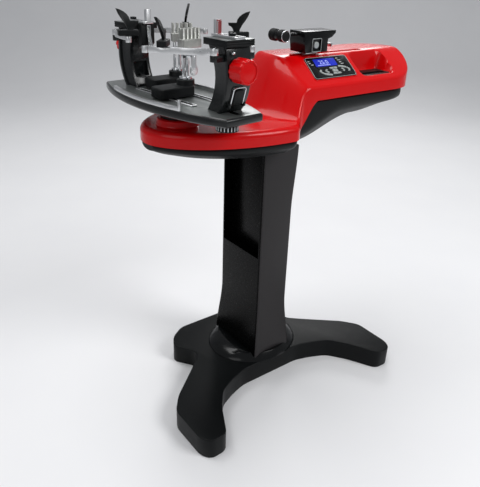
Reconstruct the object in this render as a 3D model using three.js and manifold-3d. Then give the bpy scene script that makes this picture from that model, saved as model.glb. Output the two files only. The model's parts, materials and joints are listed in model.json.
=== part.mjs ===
// Racket stringing machine: a floor stand with a moulded housing, a console, a string puller that
// slides along the top, and a turntable with two towers, four side arms and two string clamps.
// Millimetres. +X runs from the turntable to the rear end, -Y is the operator's side, +Z is up.

import * as THREE from 'three';
import { mergeVertices } from 'three/addons/utils/BufferGeometryUtils.js';
import Module from 'manifold-3d';

const wasm = await Module();
wasm.setup();

// Fits shared by all pieces
const seatGap = 0.3;
const runGap = 0.5;
const cutOverrun = 5;

// Foot
const footHeight = 65;
const footHalfLength = 378;
const footReach = 314;
const footBack = 190;
const footBevel = 7;
const footCornerReach = 16;

// Collar round the column's lower end
const collarHeight = 24;
const collarHalfLength = 152;
const collarHalfWidth = 134;
const collarShift = 4;
const collarTopShare = 0.74;

// Column
const columnX = 11;
const columnHalfLength = 57;
const columnHalfWidth = 97;
const columnCorner = 7;
const columnFootFlare = 13;
const columnHeadFlare = 12;
const columnTop = 756;
const columnFlareHeight = 200;
const panelSplit = 424;
const panelThickness = 4;
const panelHalfWidth = 88;
const recessDepth = 34;

// Housing, in plan
const noseX = -354;
const widestX = -20;
const deckHalfWidth = 187;
const nosePower = 1.9;
const neckX = 64;
const bodyHalfWidth = 120;
const rearRoundX = 425;
const rearX = 553;
const rearPower = 2.3;

// Housing, in height
const deckSeamRise = 48;
const deckSeamZ = columnTop + deckSeamRise;
const deckDepth = 38;
const deckZ = deckSeamZ + deckDepth;
const rimChamfer = 20;
const rimDrop = 14;
const bodySeamRise = 76;
const bodySeamZ = deckSeamZ + bodySeamRise;
const seamRiseStart = 42;
const seamRiseEnd = 116;
const sideDepth = 36;
const creaseZ = bodySeamZ + sideDepth;
const topSlopeShare = 0.62;
const topFlatY = -10.3;
const topZ = creaseZ + topSlopeShare * (topFlatY + bodyHalfWidth);
const creaseSoftness = 5;
const riserFootX = -50;
const riserFootSweep = 68;
const riserTopX = 70;
const riserTopSweep = 22;
const riserSpan = 150;
const farRound = 26;

// Lower housing
const bellyInset = 8;
const deckBellyDepth = 20;
const bodyBellyDepth = 34;
const bodyKeelDepth = 68;
const bellyKeelInset = 46;

// Slot and puller
const slotStartX = 104;
const slotEndX = 388;
const slotWidth = 13;
const slotDepth = 46;
const pullRestX = 176;
const pullStemWidth = 9;
const pullStemLength = 44;
const pullFootHeight = 6;
const pullFootWidth = 25;
const pullBodyLength = 84;
const pullBodyWidth = 62;
const pullBodyHeight = 38;
const pullCapLength = 132;
const pullCapHeight = 18;
const pullCapShift = 4;
const pullCapTaper = 14;
const pullButtonRadius = 9;
const pullButtonLength = 9;
const pullButtonStroke = 3;
const pullPocketSize = 34;
const pullPocketDepth = 5;
const spoolRadius = 16;
const spoolWaist = 9;
const spoolHalfLength = 31;
const spoolX = 62;
const strapRodRadius = 4;
const strapWall = 3.4;
const strapWidth = 9;
const leverLength = 40;
const leverThickness = 3;
const leverWidth = 26;
const leverRootRadius = 5;
const leverTabHeight = 11;

// Console
const consoleX = 206;
const consoleY = -62;
const consoleLength = 162;
const consoleWidth = 84;
const consoleSkew = 14;
const consoleThickness = 5;
const consoleRecess = 2.6;
const consoleCorner = 9;
const displayLength = 82;
const displayWidth = 30;
const displayThickness = 2.4;
const displayA = -8;
const displayB = 19;
const keypadA = 4;
const keypadB = -17;
const keyStroke = 1.2;
const keyPlay = 0.5;
const keyProud = 2.2;
const keyThickness = 4;
const centreKeyLength = 20;
const centreKeyWidth = 10;
const innerKeyLength = 37;
const innerKeyWidth = 13.5;
const outerKeyLength = 58;
const outerKeyWidth = 20;
const keyBand = 6;

// Tray with its hand slot
const trayStartX = 312;
const trayEndX = 458;
const trayNearY = -96;
const trayFarY = -14;
const trayFloorRise = 8;
const trayFloorZ = creaseZ + trayFloorRise;
const trayCorner = 26;
const handSlotLength = 104;
const handSlotWidth = 24;
const handSlotDepth = 36;

// Mains inlet and switch, on the far side of the lower housing
const inletX = 330;
const inletLength = 50;
const inletHeight = 27;
const inletDepth = 20;
const inletWall = 3;
const inletDrop = 22;
const inletZ = bodySeamZ - inletDrop;
const switchGap = 12;
const switchLength = 22;
const switchWidth = 15;
const switchDepth = 8;
const switchCrown = 3;

// Turntable
const tableX = -262;
const tableY = -6;
const tableTurn = THREE.MathUtils.degToRad(5);
const bearingRadius = 54;
const bearingHeight = 18;
const hubRadius = 43;
const plateRise = 70;
const plateTopZ = deckZ + plateRise;
const plateThickness = 20;
const plateHalfLength = 252;
const plateHalfWidth = 110;
const plateEndHalfWidth = 53;
const plateBevel = 4;
const guideX = 36;
const guideWidth = 17;
const guideRise = 3;
const guideHalfLength = 118;
const guideSlotWidth = 8;
const lockSlotStart = 150;
const lockSlotEnd = 232;
const lockSlotWidth = 14;
const sideRailWidth = 8;
const sideRailHeight = 9;
const sideRailInset = 2;
const sideRailEnd = 150;
const sideRailStart = -132;
const railPinRadius = 4;
const railPinHeight = 24;

// Towers, with Y running outwards from the table's axis
const towerInset = { far: 20, near: 0 };
const towerHalfWidth = 28;
const flangeHalfWidth = 33;
const flangeThickness = 8;
const towerFootInner = 156;
const towerFootOuter = 202;
const towerWaistInner = 182;
const towerWaistOuter = 230;
const towerTopInner = 158;
const towerTopOuter = 222;
const towerHeight = 141;
const towerTopZ = plateTopZ + towerHeight;
const towerPocketWidth = 40;
const towerPocketHeight = 36;
const towerPocketDepth = 6;
const towerPocketRise = 42;
const towerPocketZ = plateTopZ + towerPocketRise;
const headHalfWidth = 39;
const headInner = 154;
const headOuter = 232;
const headHeight = 14;
const headGroove = 1.6;
const earX = 50;
const earY = 206;
const earRadius = 10;
const earThickness = 13;
const armDrop = 16;
const armZ = towerTopZ - armDrop;
const armHeight = 13;
const armPinRadius = 4.5;
const armThickness = 7;
const armSpread = 104;
const armReach = 102;
const armSwing = {
  far_a: THREE.MathUtils.degToRad(26),
  far_b: THREE.MathUtils.degToRad(-8),
  near_a: THREE.MathUtils.degToRad(14),
  near_b: THREE.MathUtils.degToRad(2),
};
const supportShares = { far_a: 0.86, far_b: 0.6, near_a: 0.9, near_b: 0.68 };
const knobRadius = 27;
const knobLength = 38;
const knobDrop = 46;
const knobZ = towerTopZ - knobDrop;
const knobX = 8;
const knobLobes = 12;
const knobBossRadius = 12;
const knobPinRadius = 6;

// Frame sliders on the tower heads, each held by a cap screw in its slot
const sliderHalfWidth = 15;
const sliderThickness = 5;
const sliderInner = 149;
const sliderOuter = 231;
const sliderSlotInner = 24;
const sliderSlotOuter = 20;
const sliderInset = { far: 18, near: 0 };
const screwY = 203;
const screwRadius = 4;
const screwHeadRadius = 8;
const screwHeadHeight = 5;
const screwSocketRadius = 3.4;
const postWidth = 13;
const postDepth = 10;
const postHeight = 28;
const postPad = 3;

// Slide locks under the plate and lock levers at the tower feet
const wheelRadius = 27;
const wheelHeight = 19;
const wheelBossRadius = 14;
const wheelBossHeight = 5;
const wheelShankRadius = 5;
const wheelY = 192;
const wheelRibs = 20;
const bailHalfWidth = 19;
const bailHeight = 42;
const bailWire = 3;
const flapMargin = 2;
const bailRise = 19;
const bailFootZ = plateTopZ + bailRise;
const bailLean = THREE.MathUtils.degToRad(17);
const bailReachShare = 0.7;
const lugThickness = 4;
const lugReach = 4;

// Block and lever on the far tower's head
const throatHalfWidth = 19;
const throatDepth = 16;
const throatHeight = 54;
const throatLeverThickness = 5;
const throatLeverWidth = 10;
const throatLeverLength = 52;
const throatLeverKick = 8;
const throatLeverDrop = 3;

// Arm supports
const supportLength = 20;
const supportWidth = 48;
const supportHeight = 13;
const fingerHeight = 52;
const fingerReach = 24;
const barbReach = 26;
const fingerRootHalf = 6;
const fingerRootShift = 6;
const fingerThickness = 6;
const fingerLean = 10;

// String clamps
const clampLeftU = -20;
const clampLeftV = -12;
const clampRightU = 32;
const clampRightV = 94;
const clampBaseHalfLength = 50;
const clampBaseHalfWidth = 28;
const clampBaseHeight = 24;
const clampTongueLength = 18;
const clampPostX = 38;
const clampTurn = { left: 0, right: THREE.MathUtils.degToRad(-25) };
const clampDrumRadius = 22;
const clampDrumHeight = 12;
const clampRodRadius = 3.6;
const clampRodSpread = 6;
const clampRodRise = 112;
const clampRodTop = plateTopZ + clampRodRise;
const clampFlangeHeight = 6;
const jawLength = 56;
const jawDepth = 22;
const jawBodyHeight = 20;
const toothHeight = 24;
const toothCount = 5;
const toothGap = 4;
const clampLeverLength = 48;
const clampLeverWidth = 27;
const clampLeverThickness = 4;
const clampLeverX = 21;
const clampLeverDrop = 17;
const clampCollarHeight = 10;
const clampLeverZ = clampRodTop - clampLeverDrop;
const clampPinRadius = 3;
const clampEyeRadius = 6.5;

// Finishes: colour, roughness, metalness
const redGloss = { color: 0xc00a0e, roughness: 0.22, metalness: 0 };
const blackGloss = { color: 0x16181a, roughness: 0.25, metalness: 0 };
const blackSatin = { color: 0x1e2123, roughness: 0.5, metalness: 0 };
const greyPaint = { color: 0x3a4044, roughness: 0.55, metalness: 0.1 };
const aluminium = { color: 0xc9cccf, roughness: 0.3, metalness: 0.9 };
const keySilver = { color: 0xb9c0bd, roughness: 0.35, metalness: 0.5 };
const displayBlue = { color: 0x2230e0, roughness: 0.2, metalness: 0 };

// Shape tools

function solidOf(geometry) {
  const bare = geometry.clone();
  bare.deleteAttribute('normal');
  bare.deleteAttribute('uv');
  const merged = mergeVertices(bare);
  const vertProperties = new Float32Array(merged.attributes.position.array);
  const triVerts = new Uint32Array(merged.index.array);
  return new wasm.Manifold(new wasm.Mesh({ numProp: 3, vertProperties, triVerts }));
}

function geometryOf(body) {
  const mesh = body.getMesh();
  const geometry = new THREE.BufferGeometry();
  geometry.setAttribute('position', new THREE.BufferAttribute(mesh.vertProperties, 3));
  geometry.setIndex(new THREE.BufferAttribute(mesh.triVerts, 1));
  geometry.computeVertexNormals();
  return geometry;
}

function joined(...pieces) {
  return geometryOf(pieces.map(solidOf).reduce((whole, piece) => whole.add(piece)));
}

function cutBy(blank, ...tools) {
  return geometryOf(tools.map(solidOf).reduce((rest, tool) => rest.subtract(tool), solidOf(blank)));
}

function piece(name, geometry, finish) {
  const mesh = new THREE.Mesh(geometry, new THREE.MeshStandardMaterial(finish));
  mesh.name = name;
  return mesh;
}

function group(...members) {
  const gathered = new THREE.Group();
  gathered.add(...members);
  return gathered;
}

function box(fromX, toX, fromY, toY, fromZ, toZ) {
  const geometry = new THREE.BoxGeometry(toX - fromX, toY - fromY, toZ - fromZ);
  return geometry.translate((fromX + toX) / 2, (fromY + toY) / 2, (fromZ + toZ) / 2);
}

function disc(radius, fromZ, toZ, x = 0, y = 0, sides = 32) {
  const geometry = new THREE.CylinderGeometry(radius, radius, toZ - fromZ, sides);
  geometry.rotateX(Math.PI / 2);
  return geometry.translate(x, y, (fromZ + toZ) / 2);
}

function rodAlongY(radius, fromY, toY, x, z, sides = 24) {
  const geometry = new THREE.CylinderGeometry(radius, radius, toY - fromY, sides);
  return geometry.translate(x, (fromY + toY) / 2, z);
}

// A plate with its outline in plan, from one height to another, with an optional bevelled rim
function slab(shape, fromZ, toZ, bevel = 0, curveSegments = 8) {
  const geometry = new THREE.ExtrudeGeometry(shape, {
    depth: toZ - fromZ - 2 * bevel,
    bevelEnabled: bevel > 0,
    bevelThickness: bevel,
    bevelSize: bevel,
    bevelOffset: -bevel,
    bevelSegments: 1,
    curveSegments,
  });
  return geometry.translate(0, 0, fromZ + bevel);
}

// A side profile drawn in Y and Z, extruded along X
function profileAlongX(shape, fromX, toX, curveSegments = 8) {
  const geometry = new THREE.ExtrudeGeometry(shape, {
    depth: toX - fromX, bevelEnabled: false, curveSegments,
  });
  geometry.rotateX(Math.PI / 2);
  geometry.rotateZ(Math.PI / 2);
  return geometry.translate(fromX, 0, 0);
}

// A closed outline through corner points, each corner eased by a curve that starts at the given reach
function easedOutline(corners, reach) {
  const shape = new THREE.Shape();
  corners.forEach((corner, index) => {
    const before = corners[(index + corners.length - 1) % corners.length];
    const after = corners[(index + 1) % corners.length];
    const inReach = Math.min(reach, corner.distanceTo(before) / 2.1);
    const outReach = Math.min(reach, corner.distanceTo(after) / 2.1);
    const start = corner.clone().add(before.clone().sub(corner).setLength(inReach));
    const end = corner.clone().add(after.clone().sub(corner).setLength(outReach));
    if (index === 0) shape.moveTo(start.x, start.y);
    else shape.lineTo(start.x, start.y);
    shape.quadraticCurveTo(corner.x, corner.y, end.x, end.y);
  });
  shape.closePath();
  return shape;
}

function easedBox(halfLength, halfWidth, reach, x = 0, y = 0) {
  const corners = [[-1, -1], [1, -1], [1, 1], [-1, 1]];
  const placed = corners.map(([a, b]) => new THREE.Vector2(x + a * halfLength, y + b * halfWidth));
  return easedOutline(placed, reach);
}

// A closed body through rings of equally many points, capped at both ends
function loft(rings) {
  const count = rings[0].length;
  const positions = rings.flat().flatMap((point) => [point.x, point.y, point.z]);
  const faces = [];
  for (let ring = 0; ring + 1 < rings.length; ring += 1) {
    for (let step = 0; step < count; step += 1) {
      const next = (step + 1) % count;
      const low = ring * count;
      const high = low + count;
      faces.push(low + step, low + next, high + next);
      faces.push(low + step, high + next, high + step);
    }
  }
  const last = (rings.length - 1) * count;
  capFaces(rings[0]).forEach(([a, b, c]) => faces.push(a, c, b));
  capFaces(rings[rings.length - 1]).forEach(([a, b, c]) => faces.push(last + a, last + b, last + c));
  const geometry = new THREE.BufferGeometry();
  geometry.setAttribute('position', new THREE.Float32BufferAttribute(positions, 3));
  geometry.setIndex(faces);
  geometry.computeVertexNormals();
  return geometry;
}

// Triangles of a flat ring, seen so that its points run anticlockwise
function capFaces(ring) {
  const normal = ringNormal(ring);
  const flat = ring.map((point) => {
    if (Math.abs(normal.z) > 0.5) return new THREE.Vector2(point.x, point.y * Math.sign(normal.z));
    return new THREE.Vector2(point.y, point.z * Math.sign(normal.x));
  });
  return THREE.ShapeUtils.triangulateShape(flat, []);
}

function ringNormal(ring) {
  const normal = new THREE.Vector3();
  ring.forEach((point, index) => {
    const next = ring[(index + 1) % ring.length];
    normal.add(new THREE.Vector3().crossVectors(point, next));
  });
  return normal.normalize();
}

function steps(from, to, count) {
  return Array.from({ length: count + 1 }, (_, index) => from + ((to - from) * index) / count);
}

const ease = (value, from, to) => THREE.MathUtils.smoothstep(value, from, to);
const mix = (from, to, share) => from + (to - from) * share;

// Foot, a flat four-legged plate with two long legs on the operator's side

const footOutlineShares = [
  [0.29, -0.39], [0.43, -0.44], [0.575, -0.52], [0.69, -0.7], [0.815, -0.985], [0.95, -0.995],
  [1, -0.9], [1, -0.5], [0.9, -0.34], [0.62, -0.06], [0.5, 0.07], [0.5, 0.16],
];
const footBackShares = [[0.61, 0.56], [0.54, 0.8], [0.41, 0.97]];

function footOutline() {
  const near = footOutlineShares.map(([x, y]) => new THREE.Vector2(x * footHalfLength, y * footReach));
  const far = footBackShares.map(([x, y]) => new THREE.Vector2(x * footHalfLength, y * footBack));
  const right = [...near, ...far];
  const left = right.map((point) => new THREE.Vector2(-point.x, point.y)).reverse();
  return easedOutline([...right, ...left], footCornerReach);
}

function footPlate() {
  return piece('foot_plate', slab(footOutline(), 0, footHeight, footBevel, 2), greyPaint);
}

// Column, an upright shell with a three-faced front, flared at its foot and its head

function columnRing(z, grow = 0) {
  const foot = 1 - ease(z, footHeight, footHeight + columnFlareHeight);
  const head = ease(z, columnTop - columnFlareHeight, columnTop);
  const halfWidth = columnHalfWidth + columnFootFlare * foot + grow;
  const front = -columnHalfLength - columnFootFlare * foot - grow;
  const back = columnHalfLength + columnFootFlare * foot + columnHeadFlare * head + grow;
  const plan = [
    [back - columnCorner, -halfWidth], [back, -halfWidth + columnCorner],
    [back, halfWidth - columnCorner], [back - columnCorner, halfWidth],
    [front + columnCorner, halfWidth], [front, halfWidth - columnCorner],
    [front, -halfWidth + columnCorner], [front + columnCorner, -halfWidth],
  ];
  return plan.map(([x, y]) => new THREE.Vector3(columnX + x, y, z));
}

function columnLevels(from, to) {
  const footLevels = steps(footHeight, footHeight + columnFlareHeight, 6);
  const headLevels = steps(columnTop - columnFlareHeight, columnTop, 5);
  const inner = [...footLevels, ...headLevels].filter((z) => z > from && z < to);
  return [from, ...inner, to];
}

const columnFrontX = columnX - columnHalfLength;

function frontBox(depthFrom, depthTo, gap, fromZ, toZ) {
  const halfWidth = panelHalfWidth - gap;
  return box(columnFrontX + depthFrom, columnFrontX + depthTo, -halfWidth, halfWidth, fromZ, toZ);
}

function columnShell() {
  const blank = loft(columnLevels(footHeight + seatGap, columnTop - seatGap).map((z) => columnRing(z)));
  const recess = frontBox(-cutOverrun, recessDepth, 0, panelSplit, columnTop + cutOverrun);
  return piece('column_shell', cutBy(blank, recess), greyPaint);
}

function columnPanel() {
  const back = recessDepth - seatGap;
  const panel = frontBox(back - panelThickness, back, seatGap, panelSplit + seatGap, columnTop - seatGap);
  return piece('column_panel', panel, blackGloss);
}

function ovalRing(halfLength, halfWidth, z, count = 32) {
  return Array.from({ length: count }, (_, index) => {
    const angle = (index / count) * 2 * Math.PI;
    const x = columnX + collarShift + halfLength * Math.cos(angle);
    return new THREE.Vector3(x, halfWidth * Math.sin(angle), z);
  });
}

function footCollar() {
  const low = footHeight + seatGap;
  const high = footHeight + collarHeight;
  const blank = loft([
    ovalRing(collarHalfLength, collarHalfWidth, low),
    ovalRing(collarHalfLength * 0.97, collarHalfWidth * 0.97, mix(low, high, 0.3)),
    ovalRing(collarHalfLength * collarTopShare, collarHalfWidth * 0.9, high),
  ]);
  const well = columnLevels(footHeight - cutOverrun, high + cutOverrun);
  return piece('foot_collar', cutBy(blank, loft(well.map((z) => columnRing(z, seatGap)))), blackSatin);
}

// Housing form, shared by the top cover and the lower housing

function planHalfWidth(x) {
  if (x < widestX) {
    const share = Math.min((widestX - x) / (widestX - noseX), 1);
    return deckHalfWidth * (1 - share ** nosePower) ** (1 / nosePower);
  }
  if (x < rearRoundX) return mix(deckHalfWidth, bodyHalfWidth, ease(x, widestX, neckX));
  const share = Math.min((x - rearRoundX) / (rearX - rearRoundX), 1);
  return bodyHalfWidth * (1 - share ** rearPower) ** (1 / rearPower);
}

const noseStations = steps(0, Math.PI / 2, 9).slice(1).map((angle) => {
  return widestX - (widestX - noseX) * Math.cos(angle * 0.97);
});
const neckStations = steps(widestX, seamRiseEnd, 9).slice(1);
const bodyStations = steps(seamRiseEnd, rearRoundX, 5).slice(1);
const rearStations = steps(0, Math.PI / 2, 7).slice(1, 7).map((angle) => {
  return rearRoundX + (rearX - rearRoundX) * Math.sin(angle);
});
const stations = [...noseStations, ...neckStations, ...bodyStations, ...rearStations];

const seamZ = (x) => mix(deckSeamZ, bodySeamZ, ease(x, seamRiseStart, seamRiseEnd));

function riserShare(x, y) {
  const sweep = (y / riserSpan) ** 2;
  const foot = riserFootX + riserFootSweep * sweep;
  const top = riserTopX + riserTopSweep * sweep;
  return ease(x, foot, top);
}

function bodyTopZ(y) {
  const slope = creaseZ + topSlopeShare * (y + bodyHalfWidth);
  const knee = (topZ - slope) / creaseSoftness;
  const level = topZ - creaseSoftness * Math.log1p(Math.exp(knee));
  const farDrop = Math.max(0, y - bodyHalfWidth + farRound) / farRound;
  return level - farRound * (1 - Math.sqrt(Math.max(0, 1 - Math.min(farDrop, 1) ** 2)));
}

function coverTopZ(x, y) {
  const halfWidth = planHalfWidth(x);
  const edge = Math.min((halfWidth - Math.abs(y)) / rimChamfer, 1);
  const deck = deckZ - rimDrop * (1 - edge);
  return mix(deck, bodyTopZ(y), riserShare(x, y));
}

const acrossShares = [
  -1, -0.95, -0.88, -0.75, -0.6, -0.45, -0.3, -0.15, 0, 0.15, 0.35, 0.55, 0.72, 0.84, 0.93, 1,
];

function coverRing(x) {
  const halfWidth = planHalfWidth(x);
  const crown = acrossShares.map((share) => {
    const y = share * halfWidth;
    return new THREE.Vector3(x, y, coverTopZ(x, y));
  });
  const far = new THREE.Vector3(x, halfWidth, seamZ(x));
  const near = new THREE.Vector3(x, -halfWidth, seamZ(x));
  return [near, ...crown, far].reverse();
}

// Console frame: A runs along the machine, B up the slope and N out of the slope

const slopeAngle = Math.atan(topSlopeShare);
const consoleZ = creaseZ + topSlopeShare * (consoleY + bodyHalfWidth) - slopeSag(consoleY);

function slopeSag(y) {
  return creaseZ + topSlopeShare * (y + bodyHalfWidth) - bodyTopZ(y);
}

function onSlope(geometry) {
  geometry.rotateX(slopeAngle);
  return geometry.translate(consoleX, consoleY, consoleZ);
}

function consoleOutline(grow) {
  const halfLength = consoleLength / 2 + grow;
  const halfWidth = consoleWidth / 2 + grow;
  const skew = consoleSkew / 2;
  return easedOutline([
    new THREE.Vector2(-halfLength - skew, -halfWidth), new THREE.Vector2(halfLength - skew, -halfWidth),
    new THREE.Vector2(halfLength + skew, halfWidth), new THREE.Vector2(-halfLength + skew, halfWidth),
  ], consoleCorner);
}

function trayOutline() {
  const skew = consoleSkew;
  return easedOutline([
    new THREE.Vector2(trayStartX - skew, trayNearY), new THREE.Vector2(trayEndX - skew, trayNearY),
    new THREE.Vector2(trayEndX, trayFarY), new THREE.Vector2(trayStartX, trayFarY),
  ], trayCorner);
}

function handSlotOutline(grow = 0) {
  const x = (trayStartX + trayEndX) / 2 - consoleSkew;
  const y = trayNearY + handSlotWidth;
  return easedBox(handSlotLength / 2 + grow, handSlotWidth / 2 + grow, handSlotWidth, x, y);
}

function topCover() {
  const blank = loft(stations.map(coverRing));
  const slot = box(slotStartX, slotEndX, -slotWidth / 2, slotWidth / 2, topZ - slotDepth, topZ + cutOverrun);
  const seat = onSlope(slab(consoleOutline(seatGap), -consoleRecess, consoleThickness + cutOverrun, 0, 3));
  const tray = slab(trayOutline(), trayFloorZ, topZ + cutOverrun, 0, 5);
  const handSlot = slab(handSlotOutline(), trayFloorZ - handSlotDepth, trayFloorZ + cutOverrun, 0, 5);
  return piece('top_cover', cutBy(blank, slot, seat, tray, handSlot), redGloss);
}

// Lower housing under the seam, with a crease along each side and a narrower floor

function bellyCreaseZ(x) {
  const rise = ease(x, seamRiseStart, seamRiseEnd + bodyHalfWidth);
  return mix(deckSeamZ - deckBellyDepth, bodySeamZ - bodyBellyDepth, rise);
}

function bellyKeelZ(x) {
  const neck = ease(x, columnHalfLength + columnX + columnHeadFlare, rearRoundX - bodyHalfWidth);
  const rear = ease(x, rearRoundX - bodyHalfWidth, rearX);
  return mix(mix(columnTop, bodySeamZ - bodyKeelDepth, neck), bodySeamZ - bodyBellyDepth, rear);
}

const noseShare = (x, halfWidth) => (x < widestX ? halfWidth / deckHalfWidth : 1);

function bellyRing(x, wide) {
  const halfWidth = Math.max(wide - bellyInset, bellyInset);
  const floor = Math.max(halfWidth - bellyKeelInset, halfWidth / 2);
  const top = seamZ(x) - seatGap;
  const share = noseShare(x, halfWidth);
  const crease = Math.min(mix(top - bellyInset, bellyCreaseZ(x), share), top - bellyInset);
  const keel = Math.min(mix(crease, bellyKeelZ(x), share), crease - bellyInset);
  const half = [[floor, keel], [halfWidth, crease], [halfWidth, top]];
  const near = half.map(([y, z]) => new THREE.Vector3(x, -y, z));
  const far = half.map(([y, z]) => new THREE.Vector3(x, y, z));
  return [...far, ...near.reverse()];
}

function bellyStation(x) {
  if (x < widestX) return Math.max(x, noseX) + bellyInset;
  if (x > rearRoundX) return x - bellyInset;
  return x;
}

function lowerHousing() {
  const rings = stations.map((x) => bellyRing(bellyStation(x), planHalfWidth(x)));
  const far = bodyHalfWidth - bellyInset;
  const inletPocket = box(
    inletX - inletLength / 2 - seatGap, inletX + inletLength / 2 + seatGap,
    far - inletDepth - seatGap, far + cutOverrun,
    inletZ - inletHeight / 2 - seatGap, inletZ + inletHeight / 2 + seatGap,
  );
  const switchPocket = box(
    switchX - switchLength / 2 - runGap, switchX + switchLength / 2 + runGap,
    far - switchDepth - switchCrown, far + cutOverrun,
    inletZ - switchWidth / 2 - runGap, inletZ + switchWidth / 2 + runGap,
  );
  return piece('lower_housing', cutBy(loft(rings), inletPocket, switchPocket), blackSatin);
}

// Mains inlet and rocker switch

const switchX = inletX + inletLength / 2 + switchGap + switchLength / 2;
const farFaceY = bodyHalfWidth - bellyInset;

function mainsInlet() {
  const body = box(
    inletX - inletLength / 2, inletX + inletLength / 2, farFaceY - inletDepth, farFaceY,
    inletZ - inletHeight / 2, inletZ + inletHeight / 2,
  );
  const mouth = box(
    inletX - inletLength / 2 + inletWall * 2, inletX + inletLength / 2 - inletWall * 2,
    farFaceY - inletDepth + inletWall, farFaceY + cutOverrun,
    inletZ - inletHeight / 2 + inletWall, inletZ + inletHeight / 2 - inletWall,
  );
  return piece('mains_inlet', cutBy(body, mouth), blackSatin);
}

function mainsSwitch() {
  const half = switchLength / 2;
  const shape = new THREE.Shape();
  shape.moveTo(-half, -switchDepth / 2);
  shape.lineTo(half, -switchDepth / 2);
  shape.lineTo(half, switchCrown);
  shape.quadraticCurveTo(0, 0, -half, switchCrown);
  shape.closePath();
  const geometry = slab(shape, -switchWidth / 2, switchWidth / 2, 0, 6);
  geometry.translate(switchX, farFaceY, inletZ);
  return piece('mains_switch', geometry, blackSatin);
}

// Console: panel, display and keys

function ringSector(halfLength, halfWidth, band, fromAngle, toAngle, grow = 0) {
  const outer = steps(fromAngle, toAngle, 8).map((angle) => {
    return [(halfLength + grow) * Math.cos(angle), (halfWidth + grow) * Math.sin(angle)];
  });
  const inner = steps(toAngle, fromAngle, 8).map((angle) => {
    return [(halfLength - band - grow) * Math.cos(angle), (halfWidth - band - grow) * Math.sin(angle)];
  });
  const points = [...outer, ...inner].map(([a, b]) => new THREE.Vector2(keypadA + a, keypadB + b));
  return new THREE.Shape(points);
}

function keyShape(key, grow = 0) {
  if (key.ring === 'centre') {
    const reach = centreKeyWidth / 2;
    return easedBox(centreKeyLength / 2 + grow, centreKeyWidth / 2 + grow, reach, keypadA, keypadB);
  }
  const inner = key.ring === 'inner';
  const halfLength = inner ? innerKeyLength : outerKeyLength;
  const halfWidth = inner ? innerKeyWidth : outerKeyWidth;
  const play = grow / halfWidth;
  return ringSector(halfLength, halfWidth, keyBand, key.from - play, key.to + play, grow);
}

const keys = [
  { name: 'key_start', ring: 'centre' },
  { name: 'key_up', ring: 'inner', from: 1.15, to: 2.0 },
  { name: 'key_left', ring: 'inner', from: 2.55, to: 3.75 },
  { name: 'key_down', ring: 'inner', from: 4.3, to: 5.15 },
  { name: 'key_right', ring: 'inner', from: -0.55, to: 0.6 },
  { name: 'key_minus', ring: 'outer', from: 2.75, to: 4.3 },
  { name: 'key_plus', ring: 'outer', from: -0.4, to: 1.15 },
];

function displayOutline(grow) {
  const halfLength = displayLength / 2 + grow;
  const halfWidth = displayWidth / 2 + grow;
  const skew = (consoleSkew * displayWidth) / consoleWidth / 2;
  return new THREE.Shape([
    new THREE.Vector2(displayA - halfLength - skew, displayB - halfWidth),
    new THREE.Vector2(displayA + halfLength - skew, displayB - halfWidth),
    new THREE.Vector2(displayA + halfLength + skew, displayB + halfWidth),
    new THREE.Vector2(displayA - halfLength + skew, displayB + halfWidth),
  ]);
}

const panelBack = -consoleRecess + seatGap;
const panelFace = panelBack + consoleThickness;
const keyWell = keyThickness - keyProud + keyStroke + seatGap;

function consoleParts() {
  const blank = slab(consoleOutline(0), panelBack, panelFace, 0, 3);
  const window = slab(displayOutline(seatGap), panelFace - displayThickness, panelFace + cutOverrun);
  const wells = keys.map((key) => {
    return slab(keyShape(key, keyPlay), panelFace - keyWell, panelFace + cutOverrun, 0, 5);
  });
  const display = slab(displayOutline(0), panelFace - displayThickness + seatGap, panelFace);
  const keyMeshes = keys.map((key) => {
    const foot = panelFace + keyProud - keyThickness;
    return piece(key.name, onSlope(slab(keyShape(key), foot, foot + keyThickness, 0, 5)), keySilver);
  });
  return group(
    piece('console_panel', onSlope(cutBy(blank, window, ...wells)), blackGloss),
    piece('display_window', onSlope(display), displayBlue),
    ...keyMeshes,
  );
}

// String puller: a carriage in the slot, a head block, a spool, a grip button and a lever

const pullFootZ = bodyTopZ(pullFootWidth / 2) + seatGap;
const pullBodyZ = pullFootZ + pullFootHeight;
const pullCapZ = pullBodyZ + pullBodyHeight;

function pullCarriage() {
  const half = pullStemLength / 2;
  const stemFoot = topZ - slotDepth + runGap;
  const stem = box(-half, half, -pullStemWidth / 2, pullStemWidth / 2, stemFoot, pullFootZ + seatGap);
  const foot = box(-half, half, -pullFootWidth / 2, pullFootWidth / 2, pullFootZ, pullBodyZ - seatGap);
  const mesh = piece('pull_carriage', joined(stem, foot), aluminium);
  mesh.position.x = pullRestX;
  return mesh;
}

function pullHeadProfile() {
  const half = pullBodyLength / 2;
  const cap = pullCapLength / 2;
  const top = pullCapZ + pullCapHeight;
  const shape = new THREE.Shape();
  shape.moveTo(-half, pullBodyZ);
  shape.lineTo(half, pullBodyZ);
  shape.lineTo(half, pullCapZ - pullCapShift);
  shape.lineTo(pullCapShift + cap - pullCapTaper, pullCapZ);
  shape.lineTo(pullCapShift + cap, top - pullCapTaper / 2);
  shape.lineTo(pullCapShift + cap, top);
  shape.lineTo(pullCapShift - cap + pullCapTaper, top);
  shape.lineTo(pullCapShift - cap + pullCapTaper, pullCapZ);
  shape.closePath();
  return shape;
}

const spoolZ = pullCapZ + pullCapHeight / 2;

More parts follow.
